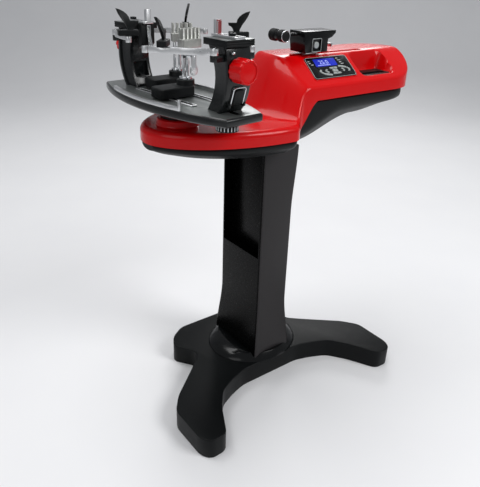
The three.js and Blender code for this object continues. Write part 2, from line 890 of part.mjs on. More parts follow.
// A rod from the cap to a ring that runs in the spool's groove
function spoolStrap() {
  const bore = spoolWaist + runGap;
  const ring = rodAlongY(bore + strapWall, -strapWidth / 2, strapWidth / 2, spoolX - pullRestX, spoolZ);
  const hole = rodAlongY(bore, -strapWidth, strapWidth, spoolX - pullRestX, spoolZ);
  const start = spoolX - pullRestX + bore + strapWall / 2;
  const rod = new THREE.CylinderGeometry(strapRodRadius, strapRodRadius, -pullBodyLength / 2 - start, 16);
  rod.rotateZ(Math.PI / 2);
  rod.translate((start - pullBodyLength / 2) / 2, 0, spoolZ);
  return joined(cutBy(ring, hole), rod);
}

function pullHead() {
  const half = pullBodyWidth / 2;
  const block = new THREE.ExtrudeGeometry(pullHeadProfile(), { depth: pullBodyWidth, bevelEnabled: false });
  block.rotateX(Math.PI / 2);
  block.translate(0, half, 0);
  const pocketZ = (pullBodyZ + pullCapZ) / 2;
  const size = pullPocketSize / 2;
  const pocket = box(
    -size, size, -half - cutOverrun, -half + pullPocketDepth, pocketZ - size, pocketZ + size,
  );
  const boreEnd = -half + pullPocketDepth + pullButtonLength + pullButtonStroke;
  const bore = rodAlongY(pullButtonRadius + runGap, -half - cutOverrun, boreEnd, 0, pocketZ);
  const mesh = piece('pull_head', joined(cutBy(block, pocket, bore), spoolStrap()), blackGloss);
  mesh.position.x = pullRestX;
  return mesh;
}

function gripButton() {
  const half = pullBodyWidth / 2;
  const pocketZ = (pullBodyZ + pullCapZ) / 2;
  const start = -half + pullPocketDepth + seatGap;
  const rodEnd = start + pullButtonLength - 2 * seatGap;
  const rod = rodAlongY(pullButtonRadius, start - pullPocketDepth, rodEnd, 0, pocketZ);
  const mesh = piece('grip_button', rod, keySilver);
  mesh.position.x = pullRestX;
  return mesh;
}

function gripSpool() {
  const groove = strapWidth / 2 + runGap;
  const end = spoolHalfLength;
  const half = new THREE.Shape();
  half.moveTo(spoolWaist, groove);
  half.quadraticCurveTo(spoolRadius, groove * 1.4, spoolRadius, end * 0.6);
  half.quadraticCurveTo(spoolRadius, end, spoolWaist, end);
  half.lineTo(0, end);
  const upper = half.getPoints(2);
  const lower = upper.map((point) => new THREE.Vector2(point.x, -point.y)).reverse();
  const mesh = piece('grip_spool', new THREE.LatheGeometry([...lower, ...upper], 24), blackSatin);
  mesh.position.set(spoolX, 0, spoolZ);
  return mesh;
}

function gripLever() {
  const start = pullBodyLength / 2 + seatGap;
  const z = (pullBodyZ + pullCapZ) / 2;
  const axisX = start + leverRootRadius;
  const half = leverWidth / 2;
  const root = rodAlongY(leverRootRadius, -half, half, axisX, z);
  const arm = box(
    axisX, start + leverLength, -half + leverThickness, half - leverThickness, z - leverThickness, z,
  );
  const tab = box(
    start + leverLength - leverThickness, start + leverLength, -half + leverThickness, half - leverThickness,
    z - leverTabHeight, z,
  );
  const mesh = piece('grip_lever', joined(root, arm, tab), aluminium);
  mesh.position.x = pullRestX;
  return mesh;
}

// Turntable: bearing, hub, plate and side rails

function plateEdgeRadius() {
  const sag = plateHalfWidth - plateEndHalfWidth;
  return (sag * sag + plateHalfLength * plateHalfLength) / (2 * sag);
}

function plateEdgeU(v) {
  const radius = plateEdgeRadius();
  return plateHalfWidth - radius + Math.sqrt(radius * radius - v * v);
}

function plateOutline() {
  const levels = steps(-plateHalfLength, plateHalfLength, 16);
  const right = levels.map((v) => new THREE.Vector2(plateEdgeU(v), v));
  const left = levels.map((v) => new THREE.Vector2(-plateEdgeU(v), v)).reverse();
  return new THREE.Shape([...right, ...left]);
}

function turntablePlate() {
  const low = plateTopZ - plateThickness;
  const blank = slab(plateOutline(), low, plateTopZ, plateBevel);
  const lips = [-guideX, guideX].map((u) => box(
    u - guideWidth / 2, u + guideWidth / 2, -guideHalfLength, guideHalfLength,
    plateTopZ - guideRise, plateTopZ + guideRise,
  ));
  const grooves = [-guideX, guideX].map((u) => box(
    u - guideSlotWidth / 2, u + guideSlotWidth / 2,
    -guideHalfLength + guideWidth / 2, guideHalfLength - guideWidth / 2,
    plateTopZ - plateThickness / 2, plateTopZ + guideRise + cutOverrun,
  ));
  const lockSlots = [-1, 1].map((end) => box(
    -lockSlotWidth / 2, lockSlotWidth / 2,
    Math.min(end * lockSlotStart, end * lockSlotEnd), Math.max(end * lockSlotStart, end * lockSlotEnd),
    low - cutOverrun, plateTopZ + cutOverrun,
  ));
  const hub = disc(hubRadius, deckZ + bearingHeight + seatGap, low + plateBevel);
  return piece('turntable_plate', cutBy(joined(blank, hub, ...lips), ...grooves, ...lockSlots), blackGloss);
}

function turntableBearing() {
  return piece('turntable_bearing', disc(bearingRadius, deckZ + seatGap, deckZ + bearingHeight), blackSatin);
}

function sideRail(name, side) {
  const levels = steps(sideRailStart, sideRailEnd, 12);
  const outer = levels.map((v) => new THREE.Vector2(side * (plateEdgeU(v) - sideRailInset), v));
  const inner = levels.map((v) => {
    return new THREE.Vector2(side * (plateEdgeU(v) - sideRailInset - sideRailWidth), v);
  }).reverse();
  const low = plateTopZ + seatGap;
  const bar = slab(new THREE.Shape([...outer, ...inner]), low, plateTopZ + sideRailHeight);
  const pinU = side * (plateEdgeU(sideRailStart) - sideRailInset - sideRailWidth / 2);
  const pin = disc(railPinRadius, low, low + railPinHeight, pinU, sideRailStart, 16);
  return piece(name, joined(bar, pin), aluminium);
}

// Tower body: a crescent seen from the side, with ears and pins for its two side arms

const towerFootZ = plateTopZ + seatGap;

const towerWaistZ = mix(towerFootZ, towerTopZ, 0.52);
const headTopZ = towerTopZ + seatGap + headHeight;

const bailY = mix(towerFootOuter, towerWaistOuter, bailReachShare);

// The outer edge of the tower seen from the side, moved in by the given amount
function drawOuterEdge(shape, inward) {
  shape.lineTo(towerFootOuter - inward, towerFootZ);
  shape.quadraticCurveTo(
    mix(towerFootOuter, towerWaistOuter, 0.9) - inward, mix(towerFootZ, towerWaistZ, 0.4),
    towerWaistOuter - inward, towerWaistZ,
  );
  shape.quadraticCurveTo(
    towerWaistOuter - inward, mix(towerWaistZ, towerTopZ, 0.6), towerTopOuter - inward, towerTopZ,
  );
}

function towerProfile() {
  const shape = new THREE.Shape();
  shape.moveTo(towerFootInner, towerFootZ);
  drawOuterEdge(shape, 0);
  shape.lineTo(towerTopInner, towerTopZ);
  shape.bezierCurveTo(
    mix(towerTopInner, towerWaistInner, 0.5), mix(towerTopZ, towerWaistZ, 0.3),
    towerWaistInner, mix(towerTopZ, towerWaistZ, 0.6), towerWaistInner, towerWaistZ,
  );
  shape.bezierCurveTo(
    towerWaistInner, mix(towerWaistZ, towerFootZ, 0.4),
    mix(towerFootInner, towerWaistInner, 0.4), mix(towerWaistZ, towerFootZ, 0.8), towerFootInner, towerFootZ,
  );
  return shape;
}

function flangeProfile() {
  const outer = new THREE.Shape();
  outer.moveTo(towerFootOuter - flangeThickness, towerFootZ);
  drawOuterEdge(outer, 0);
  const inner = new THREE.Shape();
  inner.moveTo(towerFootOuter - flangeThickness, towerFootZ);
  drawOuterEdge(inner, flangeThickness);
  const segments = 6;
  return new THREE.Shape([...outer.getPoints(segments), ...inner.getPoints(segments).slice(1).reverse()]);
}

function towerBody() {
  const web = profileAlongX(towerProfile(), -towerHalfWidth, towerHalfWidth, 6);
  const flange = profileAlongX(flangeProfile(), -flangeHalfWidth, flangeHalfWidth);
  const earLow = armZ - seatGap - earThickness;
  const ears = [-1, 1].flatMap((side) => [
    disc(earRadius, earLow, armZ - seatGap, side * earX, earY, 24),
    box(Math.min(0, side * earX), Math.max(0, side * earX), earY - earRadius, earY + earRadius,
      earLow, armZ - seatGap),
    disc(armPinRadius, earLow, armZ + armHeight - seatGap, side * earX, earY, 16),
  ]);
  const boss = rodAlongY(knobBossRadius, towerWaistOuter - knobBossRadius,
    towerWaistOuter + 2 * seatGap, knobX, knobZ);
  const pin = rodAlongY(knobPinRadius, towerWaistOuter - knobBossRadius,
    towerWaistOuter + knobLength / 2, knobX, knobZ, 20);
  const pocket = box(-towerPocketWidth / 2, towerPocketWidth / 2, towerFootInner - cutOverrun,
    towerWaistInner + towerPocketDepth,
    towerPocketZ - towerPocketHeight / 2, towerPocketZ + towerPocketHeight / 2);
  const bore = disc(
    wheelShankRadius + seatGap, towerFootZ - cutOverrun, towerFootZ + wheelRadius, 0, wheelY, 20,
  );
  const lugs = [-1, 1].map((side) => {
    const inner = side * (bailHalfWidth + seatGap);
    const outer = side * (bailHalfWidth + seatGap + lugThickness);
    return box(Math.min(inner, outer), Math.max(inner, outer), bailY - 2 * lugReach, bailY + lugReach,
      bailFootZ - lugReach, bailFootZ + lugReach);
  });
  return cutBy(joined(web, flange, ...ears, boss, pin, ...lugs), pocket, bore);
}

function towerHead() {
  const low = towerTopZ + seatGap;
  const top = low + headHeight;
  const third = headHeight / 3;
  const shape = new THREE.Shape();
  shape.moveTo(headInner, low);
  shape.lineTo(headOuter, low);
  [1, 2].forEach((line) => {
    shape.lineTo(headOuter, low + line * third - headGroove / 2);
    shape.lineTo(headOuter - headGroove, low + line * third);
    shape.lineTo(headOuter, low + line * third + headGroove / 2);
  });
  shape.lineTo(headOuter, top);
  shape.lineTo(headInner, top);
  shape.closePath();
  const bore = disc(screwRadius + seatGap, low + third, top + cutOverrun, 0, screwY, 20);
  return cutBy(profileAlongX(shape, -headHalfWidth, headHalfWidth), bore);
}

const sliderZ = headTopZ + seatGap;

function frameSlider() {
  const top = sliderZ + sliderThickness;
  const plate = slab(easedBox(sliderHalfWidth, (sliderOuter - sliderInner) / 2, postDepth / 2,
    0, (sliderOuter + sliderInner) / 2), sliderZ, top, 0, 3);
  const post = box(
    -postWidth / 2, postWidth / 2, sliderInner, sliderInner + postDepth, sliderZ, top + postHeight,
  );
  const pad = box(-postWidth / 2 + postPad / 2, postWidth / 2 - postPad / 2, sliderInner + postDepth / 2,
    sliderInner + postDepth + postPad, top, top + postHeight - postPad);
  const slotHalf = screwRadius + runGap;
  const slot = box(
    -slotHalf, slotHalf, screwY - sliderSlotInner - slotHalf, screwY + sliderSlotOuter + slotHalf,
    sliderZ - cutOverrun, top + cutOverrun,
  );
  return cutBy(joined(plate, post, pad), slot);
}

// A cap screw with a six-sided socket
function sliderScrew() {
  const seat = sliderZ + sliderThickness + seatGap;
  const top = seat + screwHeadHeight;
  const shank = disc(screwRadius, towerTopZ + headHeight / 2, seat + screwHeadHeight / 2, 0, 0, 20);
  const socket = disc(screwSocketRadius, seat + screwHeadHeight / 3, top + cutOverrun, 0, 0, 6);
  return cutBy(joined(shank, disc(screwHeadRadius, seat, top, 0, 0, 24)), socket);
}

function spreadKnob() {
  const scallop = new THREE.Shape();
  const count = knobLobes * 4;
  Array.from({ length: count }, (_, index) => (index / count) * 2 * Math.PI).forEach((angle, index) => {
    const radius = knobRadius * (0.955 + 0.045 * Math.cos(angle * knobLobes));
    if (index === 0) scallop.moveTo(radius * Math.cos(angle), radius * Math.sin(angle));
    else scallop.lineTo(radius * Math.cos(angle), radius * Math.sin(angle));
  });
  const start = towerWaistOuter + 3 * seatGap;
  const body = slab(scallop, 0, knobLength, 3);
  body.rotateX(-Math.PI / 2);
  body.translate(0, start, 0);
  const boreEnd = towerWaistOuter + knobLength / 2 + runGap;
  return cutBy(body, rodAlongY(knobPinRadius + seatGap, start - cutOverrun, boreEnd, 0, 0, 20));
}

function slideLock() {
  const seat = plateTopZ - plateThickness - seatGap;
  const top = seat - wheelBossHeight;
  const wheel = new THREE.Shape();
  const count = wheelRibs * 2;
  Array.from({ length: count }, (_, index) => index).forEach((index) => {
    const angle = (index / count) * 2 * Math.PI;
    const radius = wheelRadius * (index % 2 === 0 ? 1 : 0.93);
    if (index === 0) wheel.moveTo(radius * Math.cos(angle), radius * Math.sin(angle));
    else wheel.lineTo(radius * Math.cos(angle), radius * Math.sin(angle));
  });
  const body = slab(wheel, top - wheelHeight, top);
  const boss = disc(wheelBossRadius, top - wheelHeight / 2, seat);
  const shank = disc(wheelShankRadius, top - wheelHeight / 2, towerFootZ + wheelRadius / 2, 0, 0, 20);
  return joined(body, boss, shank);
}

function lockLever() {
  const half = bailHalfWidth;
  const frame = box(-half, half, -bailWire / 2, bailWire / 2, 0, bailHeight);
  const inside = box(
    -half + bailWire, half - bailWire, -bailWire, bailWire, -cutOverrun, bailHeight - bailWire,
  );
  const axle = box(-half + bailWire / 2, half - bailWire / 2, -bailWire / 2, bailWire / 2, 0, bailWire);
  const edge = half - bailWire - flapMargin;
  const flap = box(-edge, edge, -bailWire, bailWire, bailWire / 2, bailHeight - bailWire - flapMargin);
  return joined(cutBy(frame, inside), axle, flap);
}

// Side arm: a curved bar in plan, from its hub on the ear to a tip that holds the frame support

const armCurveShares = [[0, 0], [0.3, -0.2], [0.55, -0.5], [0.78, -0.84], [1, -1]];

function armCurve() {
  const points = armCurveShares.map(([x, y]) => new THREE.Vector2(x * armSpread, y * armReach));
  return new THREE.SplineCurve(points);
}

function armBar(side) {
  const curve = armCurve();
  const spots = steps(0, 1, 10).map((share) => {
    const point = curve.getPoint(share);
    const tangent = curve.getTangent(share);
    return { point, normal: new THREE.Vector2(-tangent.y, tangent.x) };
  });
  const offset = (sign) => ({ point, normal }) => {
    return new THREE.Vector2(side * (point.x + (sign * normal.x * armThickness) / 2),
      point.y + (sign * normal.y * armThickness) / 2);
  };
  const outline = [...spots.map(offset(1)), ...spots.map(offset(-1)).reverse()];
  const bar = slab(new THREE.Shape(outline), armZ, armZ + armHeight);
  const tip = curve.getPoint(1);
  const hub = disc(earRadius, armZ, armZ + armHeight, 0, 0, 24);
  const pad = disc(armThickness, armZ, armZ + armHeight, side * tip.x, tip.y, 16);
  const bore = disc(armPinRadius + seatGap, armZ - cutOverrun, armZ + armHeight + cutOverrun, 0, 0, 16);
  return cutBy(joined(bar, hub, pad), bore);
}


// The finger's outline, with a tall tip on one side and a low barb on the other
function fingerOutline() {
  const inner = -fingerRootShift - fingerRootHalf;
  const outer = -fingerRootShift + fingerRootHalf;
  const shape = new THREE.Shape();
  shape.moveTo(inner, 0);
  shape.lineTo(outer, 0);
  shape.bezierCurveTo(
    outer, fingerHeight * 0.4, fingerReach * 0.8, fingerHeight * 0.55, fingerReach, fingerHeight,
  );
  shape.bezierCurveTo(
    fingerReach * 0.4, fingerHeight * 0.95, inner / 2, fingerHeight * 0.75, inner / 2, fingerHeight * 0.5,
  );
  shape.lineTo(-barbReach, fingerHeight * 0.5);
  shape.lineTo(-barbReach * 0.95, fingerHeight * 0.38);
  shape.quadraticCurveTo(inner, fingerHeight * 0.32, inner, 0);
  return shape;
}

// The blade leans out over the arm more and more towards its tip
function fingerBlade() {
  const blade = new THREE.ExtrudeGeometry(fingerOutline(), {
    depth: fingerThickness, bevelEnabled: false, curveSegments: 5,
  });
  blade.rotateX(Math.PI / 2);
  blade.translate(0, fingerThickness / 2, 0);
  const spots = blade.attributes.position;
  steps(0, spots.count - 1, spots.count - 1).forEach((index) => {
    const share = spots.getZ(index) / fingerHeight;
    spots.setY(index, spots.getY(index) - fingerLean * share * share);
  });
  return blade;
}

// A cross block on the arm that carries a finger for the frame
function armSupport(side, share) {
  const curve = armCurve();
  const spot = curve.getPoint(share);
  const low = armZ + armHeight + seatGap;
  const outline = easedBox(supportWidth / 2, supportLength / 2, supportLength / 6);
  const block = slab(outline, low, low + supportHeight, 1, 2);
  const blade = fingerBlade();
  if (side < 0) blade.rotateZ(Math.PI);
  blade.translate(0, 0, low + supportHeight / 2);
  const geometry = joined(block, blade);
  geometry.rotateZ(side * (Math.PI / 4));
  return geometry.translate(side * spot.x, spot.y, 0);
}

// On the far tower, a block before the head with a bent closing lever
function throatBlock() {
  const face = headInner - seatGap;
  const blank = box(
    -throatHalfWidth, throatHalfWidth, face - throatDepth, face, headTopZ - throatHeight, headTopZ,
  );
  const chamfer = throatDepth / 2;
  const corner = new THREE.Shape();
  corner.moveTo(face - throatDepth - cutOverrun, headTopZ - throatHeight - cutOverrun);
  corner.lineTo(face - throatDepth + chamfer + cutOverrun, headTopZ - throatHeight - cutOverrun);
  corner.lineTo(face - throatDepth - cutOverrun, headTopZ - throatHeight + chamfer + cutOverrun);
  corner.closePath();
  return cutBy(blank, profileAlongX(corner, -throatHalfWidth - cutOverrun, throatHalfWidth + cutOverrun));
}

const throatLeverY = headInner - throatDepth - 2 * seatGap - throatLeverThickness / 2;

function throatLever() {
  const half = throatLeverThickness / 2;
  const shape = new THREE.Shape();
  shape.moveTo(-half, 0);
  shape.lineTo(half, 0);
  shape.lineTo(half, -throatLeverLength * 0.45);
  shape.lineTo(half - throatLeverKick, -throatLeverLength);
  shape.lineTo(-half - throatLeverKick, -throatLeverLength);
  shape.lineTo(-half, -throatLeverLength * 0.45);
  shape.closePath();
  return profileAlongX(shape, -throatLeverWidth / 2, throatLeverWidth / 2);
}

// A tower with everything that rides on it; the group's Y runs outwards

function towerAssembly(end) {
  const arms = [-1, 1].map((side) => {
    const name = side < 0 ? 'a' : 'b';
    const key = `${end}_${name}`;
    const arm = group(
      piece(`arm_${key}`, armBar(side), aluminium),
      piece(`arm_support_${key}`, armSupport(side, supportShares[key]), blackSatin),
    );
    arm.position.set(side * earX, earY, 0);
    arm.rotation.z = -side * armSwing[key];
    return arm;
  });
  const knob = piece(`spread_knob_${end}`, spreadKnob(), redGloss);
  knob.position.set(knobX, 0, knobZ);
  const lock = piece(`slide_lock_${end}`, slideLock(), blackSatin);
  lock.position.y = wheelY;
  const lever = piece(`lock_lever_${end}`, lockLever(), blackSatin);
  lever.position.set(0, bailY, bailFootZ);
  lever.rotation.x = -bailLean;
  const slider = piece(`frame_slider_${end}`, frameSlider(), aluminium);
  slider.position.y = -sliderInset[end];
  const screw = piece(`slider_screw_${end}`, sliderScrew(), blackSatin);
  screw.position.y = screwY;
  const tower = group(
    piece(`tower_${end}`, towerBody(), blackGloss),
    piece(`tower_head_${end}`, towerHead(), blackSatin),
    slider, screw, knob, lock, lever, ...arms,
  );
  tower.position.y = -towerInset[end];
  return tower;
}

function throatClamp() {
  const lever = piece('throat_lever', throatLever(), aluminium);
  lever.position.set(0, throatLeverY, headTopZ - throatLeverDrop);
  return group(piece('throat_block', throatBlock(), blackSatin), lever);
}

// String clamp: a base on its guide, a turning post with two rods, a toothed jaw and a closing lever

const clampBaseZ = plateTopZ + guideRise + seatGap;
const clampBaseTopZ = clampBaseZ + clampBaseHeight;
const clampFlangeZ = clampBaseTopZ + clampDrumHeight + seatGap;

function clampBase(tongueX) {
  const block = slab(easedBox(clampBaseHalfLength, clampBaseHalfWidth, clampBaseHalfWidth / 2),
    clampBaseZ, clampBaseTopZ, 2, 3);
  const drumFootZ = clampBaseZ + clampBaseHeight / 2;
  const drum = disc(clampDrumRadius, drumFootZ, clampBaseTopZ + clampDrumHeight, clampPostX, 0);
  const half = guideSlotWidth / 2 - runGap;
  const tongue = box(tongueX - half, tongueX + half, -clampTongueLength / 2, clampTongueLength / 2,
    plateTopZ - plateThickness / 2 + runGap, clampBaseZ + clampBaseHeight / 2);
  return joined(block, drum, tongue);
}

// The post carries a collar with a short arm, on which the closing lever hangs
function clampPost() {
  const flange = disc(clampDrumRadius * 0.7, clampFlangeZ, clampFlangeZ + clampFlangeHeight, 0, 0, 24);
  const rodFootZ = clampFlangeZ + clampFlangeHeight / 2;
  const rods = [-1, 1].map((side) => {
    return disc(clampRodRadius, rodFootZ, clampRodTop, side * clampRodSpread, 0, 12);
  });
  const half = clampRodRadius + seatGap;
  const arm = box(-clampRodSpread - half, clampLeverX + clampEyeRadius, -half, half,
    clampLeverZ - clampCollarHeight / 2, clampLeverZ + clampCollarHeight / 2);
  const pin = rodAlongY(clampPinRadius, -half - clampLeverThickness, 0, clampLeverX, clampLeverZ, 16);
  return joined(flange, arm, pin, ...rods);
}

function clampHead() {
  const low = clampRodTop + seatGap;
  const shift = jawLength / 4;
  const outline = easedBox(jawLength / 2, jawDepth / 2, jawDepth / 6, shift, 0);
  const block = slab(outline, low, low + jawBodyHeight, 1, 2);
  const pitch = jawLength / toothCount;
  const teeth = Array.from({ length: toothCount }, (_, index) => {
    const x = shift - jawLength / 2 + pitch * (index + 0.5);
    return [-1, 1].map((side) => {
      const near = side * (toothGap / 2);
      const far = side * (jawDepth / 2 - toothGap / 2);
      return box(x - pitch / 4, x + pitch / 4, Math.min(near, far), Math.max(near, far),
        low + jawBodyHeight / 2, low + jawBodyHeight + toothHeight);
    });
  }).flat();
  return joined(block, ...teeth);
}

// The closing lever hangs from an eye on the arm's pin and ends in a wide spoon
function clampLever() {
  const eye = clampEyeRadius;
  const spoon = clampLeverWidth / 2;
  const neck = clampLeverLength / 2;
  const shape = new THREE.Shape();
  shape.absarc(0, 0, eye, 0, Math.PI, false);
  shape.lineTo(-eye, -neck);
  shape.bezierCurveTo(-spoon, -neck - eye, -spoon, -clampLeverLength, 0, -clampLeverLength);
  shape.bezierCurveTo(spoon, -clampLeverLength, spoon, -neck - eye, eye, -neck);
  shape.closePath();
  const geometry = new THREE.ExtrudeGeometry(shape, {
    depth: clampLeverThickness, bevelEnabled: false, curveSegments: 7,
  });
  geometry.rotateX(Math.PI / 2);
  const bore = rodAlongY(clampPinRadius + seatGap, -2 * clampLeverThickness, clampLeverThickness, 0, 0, 16);
  return cutBy(geometry, bore);
}

function stringClamp(side, u, v) {
  const lever = piece(`clamp_lever_${side}`, clampLever(), aluminium);
  lever.position.set(clampLeverX, -clampRodRadius - 2 * seatGap, clampLeverZ);
  const moving = group(
    piece(`clamp_post_${side}`, clampPost(), aluminium),
    piece(`clamp_head_${side}`, clampHead(), aluminium),
    lever,
  );
  moving.position.x = clampPostX;
  moving.rotation.z = clampTurn[side];
  const clamp = group(piece(`clamp_base_${side}`, clampBase(Math.sign(u) * guideX - u), blackSatin), moving);
  clamp.position.set(u, v, 0);
  return clamp;
}

// Assembly

function turntable() {
  const far = towerAssembly('far');
  far.add(throatClamp());
  const near = group(towerAssembly('near'));
  near.rotation.z = Math.PI;
  const table = group(
    turntablePlate(),
    sideRail('side_rail_left', -1),
    sideRail('side_rail_right', 1),
    far,
    near,
    stringClamp('left', clampLeftU, clampLeftV),
    stringClamp('right', clampRightU, clampRightV),
  );
  table.rotation.z = tableTurn;
  return table;
}

const machine = group(
  footPlate(),
  footCollar(),
  columnShell(),
  columnPanel(),
  lowerHousing(),
  topCover(),
  consoleParts(),
  mainsInlet(),
  mainsSwitch(),
  pullCarriage(),
  pullHead(),
  gripButton(),
  gripSpool(),
  gripLever(),
);

const tableGroup = group(turntableBearing(), turntable());
tableGroup.position.set(tableX, tableY, 0);
machine.add(tableGroup);

// The origin goes under the middle of the whole machine, on the floor
const extent = new THREE.Box3().setFromObject(machine, true);
const middle = extent.getCenter(new THREE.Vector3());
machine.position.set(-middle.x, -middle.y, -extent.min.z);

export default machine;
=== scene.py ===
# Racket stringing machine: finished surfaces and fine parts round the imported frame.
# The frame is in metres. Sizes here are in millimetres of the real machine, measured from the
# column's axis: +X runs from the turntable to the rear end, -Y is the operator's side, +Z is up.

import json
import math

import bmesh
import bpy
import numpy as np
from mathutils import Matrix, Vector

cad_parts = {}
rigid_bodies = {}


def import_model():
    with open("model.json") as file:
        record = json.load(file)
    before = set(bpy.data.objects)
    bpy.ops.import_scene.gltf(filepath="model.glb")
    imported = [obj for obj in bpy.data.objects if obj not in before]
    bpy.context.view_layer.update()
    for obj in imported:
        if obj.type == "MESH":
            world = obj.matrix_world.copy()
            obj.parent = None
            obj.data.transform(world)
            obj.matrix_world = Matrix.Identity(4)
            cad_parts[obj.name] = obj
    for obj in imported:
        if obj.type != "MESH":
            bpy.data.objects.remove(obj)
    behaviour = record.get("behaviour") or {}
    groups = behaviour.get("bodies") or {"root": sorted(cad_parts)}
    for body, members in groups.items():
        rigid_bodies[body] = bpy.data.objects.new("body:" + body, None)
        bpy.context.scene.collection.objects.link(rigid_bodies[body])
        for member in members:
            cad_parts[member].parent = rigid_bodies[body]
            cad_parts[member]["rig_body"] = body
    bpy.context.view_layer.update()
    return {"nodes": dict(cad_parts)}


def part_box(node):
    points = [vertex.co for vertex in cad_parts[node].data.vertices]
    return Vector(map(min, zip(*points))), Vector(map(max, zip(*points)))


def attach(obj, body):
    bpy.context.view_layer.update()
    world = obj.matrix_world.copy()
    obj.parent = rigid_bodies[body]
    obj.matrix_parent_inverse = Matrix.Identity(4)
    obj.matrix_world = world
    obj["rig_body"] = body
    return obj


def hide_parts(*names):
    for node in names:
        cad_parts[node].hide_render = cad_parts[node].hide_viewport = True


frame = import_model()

MM = 0.001
MERGED_WITHIN = 0.01 * MM
CUT_OVERRUN = 30
SEAT_GAP = 0.3

TABLE_X, TABLE_Y = -262, -6
TABLE_TURN = math.radians(5)
FAR_TOWER_INSET = 20
PLATE_TOP, TOWER_HEIGHT = 912, 141
TOWER_TOP = PLATE_TOP + TOWER_HEIGHT
ARM_SINK, ARM_THICKNESS = 16, 13
ARM_TOP = TOWER_TOP - ARM_SINK + ARM_THICKNESS

# Places: each matrix turns millimetres of one assembly into the frame's metres

bearing_low, bearing_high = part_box("turntable_bearing")
bearing_middle = (bearing_low + bearing_high) / 2
column_foot = Vector((bearing_middle.x - TABLE_X * MM, bearing_middle.y - TABLE_Y * MM, 0))
MACHINE = Matrix.Translation(column_foot) @ Matrix.Scale(MM, 4)
TABLE = MACHINE @ Matrix.Translation((TABLE_X, TABLE_Y, 0)) @ Matrix.Rotation(TABLE_TURN, 4, "Z")
TOWERS = {
    "far": TABLE @ Matrix.Translation((0, -FAR_TOWER_INSET, 0)),
    "near": TABLE @ Matrix.Rotation(math.pi, 4, "Z"),
}


def middle_of(node):
    """The middle of a CAD node's box, in millimetres from the column."""
    low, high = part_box(node)
    return MACHINE.inverted() @ ((low + high) / 2)


# Camera, at the photograph's viewing angle

VIEW = Vector((0.5419, 0.7087, -0.4518))
VIEW_RIGHT = Vector((0.8027, -0.5957, 0.0282))
CAMERA_PLACE = Vector((-977, -1216, 1215))
FOCAL_PX, LONG_SIDE_PX, SENSOR = 560, 487, 36


def make_camera():
    """The camera, with its focal length worked out from pixels of the photograph."""
    right, back = VIEW_RIGHT.normalized(), -VIEW.normalized()
    up = back.cross(right)
    data = bpy.data.cameras.new("photo_camera")
    data.sensor_width = SENSOR
    data.lens = SENSOR * FOCAL_PX / LONG_SIDE_PX
    camera = bpy.data.objects.new("photo_camera", data)
    turn = Matrix((right, up, back)).transposed().to_4x4()
    camera.matrix_world = Matrix.Translation(MACHINE @ CAMERA_PLACE) @ turn
    bpy.context.scene.collection.objects.link(camera)
    bpy.context.scene.camera = camera


# Colour and node tools

MATERIALS = {}


def linear(code):
    """An sRGB hex colour as linear red, green, blue and an alpha of one."""
    parts = [int(code[i:i + 2], 16) / 255 for i in (1, 3, 5)]
    return [p / 12.92 if p <= 0.04045 else ((p + 0.055) / 1.055) ** 2.4 for p in parts] + [1.0]


def add(tree, kind, values=None, **settings):
    """Adds a node. Settings are its properties; values give an input a number or a node's output."""
    node = tree.nodes.new(kind)
    for name, value in settings.items():
        setattr(node, name, value)
    for socket, value in (values or {}).items():
        if isinstance(value, bpy.types.NodeSocket):
            tree.links.new(value, node.inputs[socket])
        else:
            node.inputs[socket].default_value = value
    return node


def surface(name, light, dark, cloud_mm, grain_mm, relief_mm, rough, stretch=(1, 1, 1), **shader):
    """Keeps a finish whose colour drifts between two tones in clouds, over a fine grain.

    The grain sets the roughness between its two bounds and a relief of the given depth. Stretch
    scales the grain along each axis, and shader holds values for the shader's own sockets.
    """
    material = bpy.data.materials.new(name)
    material.use_nodes = True
    tree = material.node_tree
    tree.nodes.clear()
    place = add(tree, "ShaderNodeTexCoord").outputs["Object"]
    drawn = add(tree, "ShaderNodeMapping", {"Vector": place, "Scale": stretch}).outputs["Vector"]
    cloud = add(tree, "ShaderNodeTexNoise", {"Vector": place, "Scale": 1 / (cloud_mm * MM), "Detail": 3.0})
    grain = add(tree, "ShaderNodeTexNoise", {"Vector": drawn, "Scale": 1 / (grain_mm * MM), "Detail": 4.0})
    tone = add(tree, "ShaderNodeMix", {
        "Factor": cloud.outputs["Fac"], 6: linear(dark), 7: linear(light),
    }, data_type="RGBA")
    gloss = add(tree, "ShaderNodeMapRange", {
        "Value": grain.outputs["Fac"], "From Min": 0.3, "From Max": 0.7,
        "To Min": rough[0], "To Max": rough[1],
    })
    relief = add(tree, "ShaderNodeBump", {
        "Height": grain.outputs["Fac"], "Distance": relief_mm * MM, "Strength": 0.6,
    })
    body = add(tree, "ShaderNodeBsdfPrincipled", {
        "Base Color": tone.outputs[2], "Roughness": gloss.outputs["Result"],
        "Normal": relief.outputs["Normal"], **shader,
    })
    add(tree, "ShaderNodeOutputMaterial", {"Surface": body.outputs["BSDF"]})
    MATERIALS[name] = material


# Materials

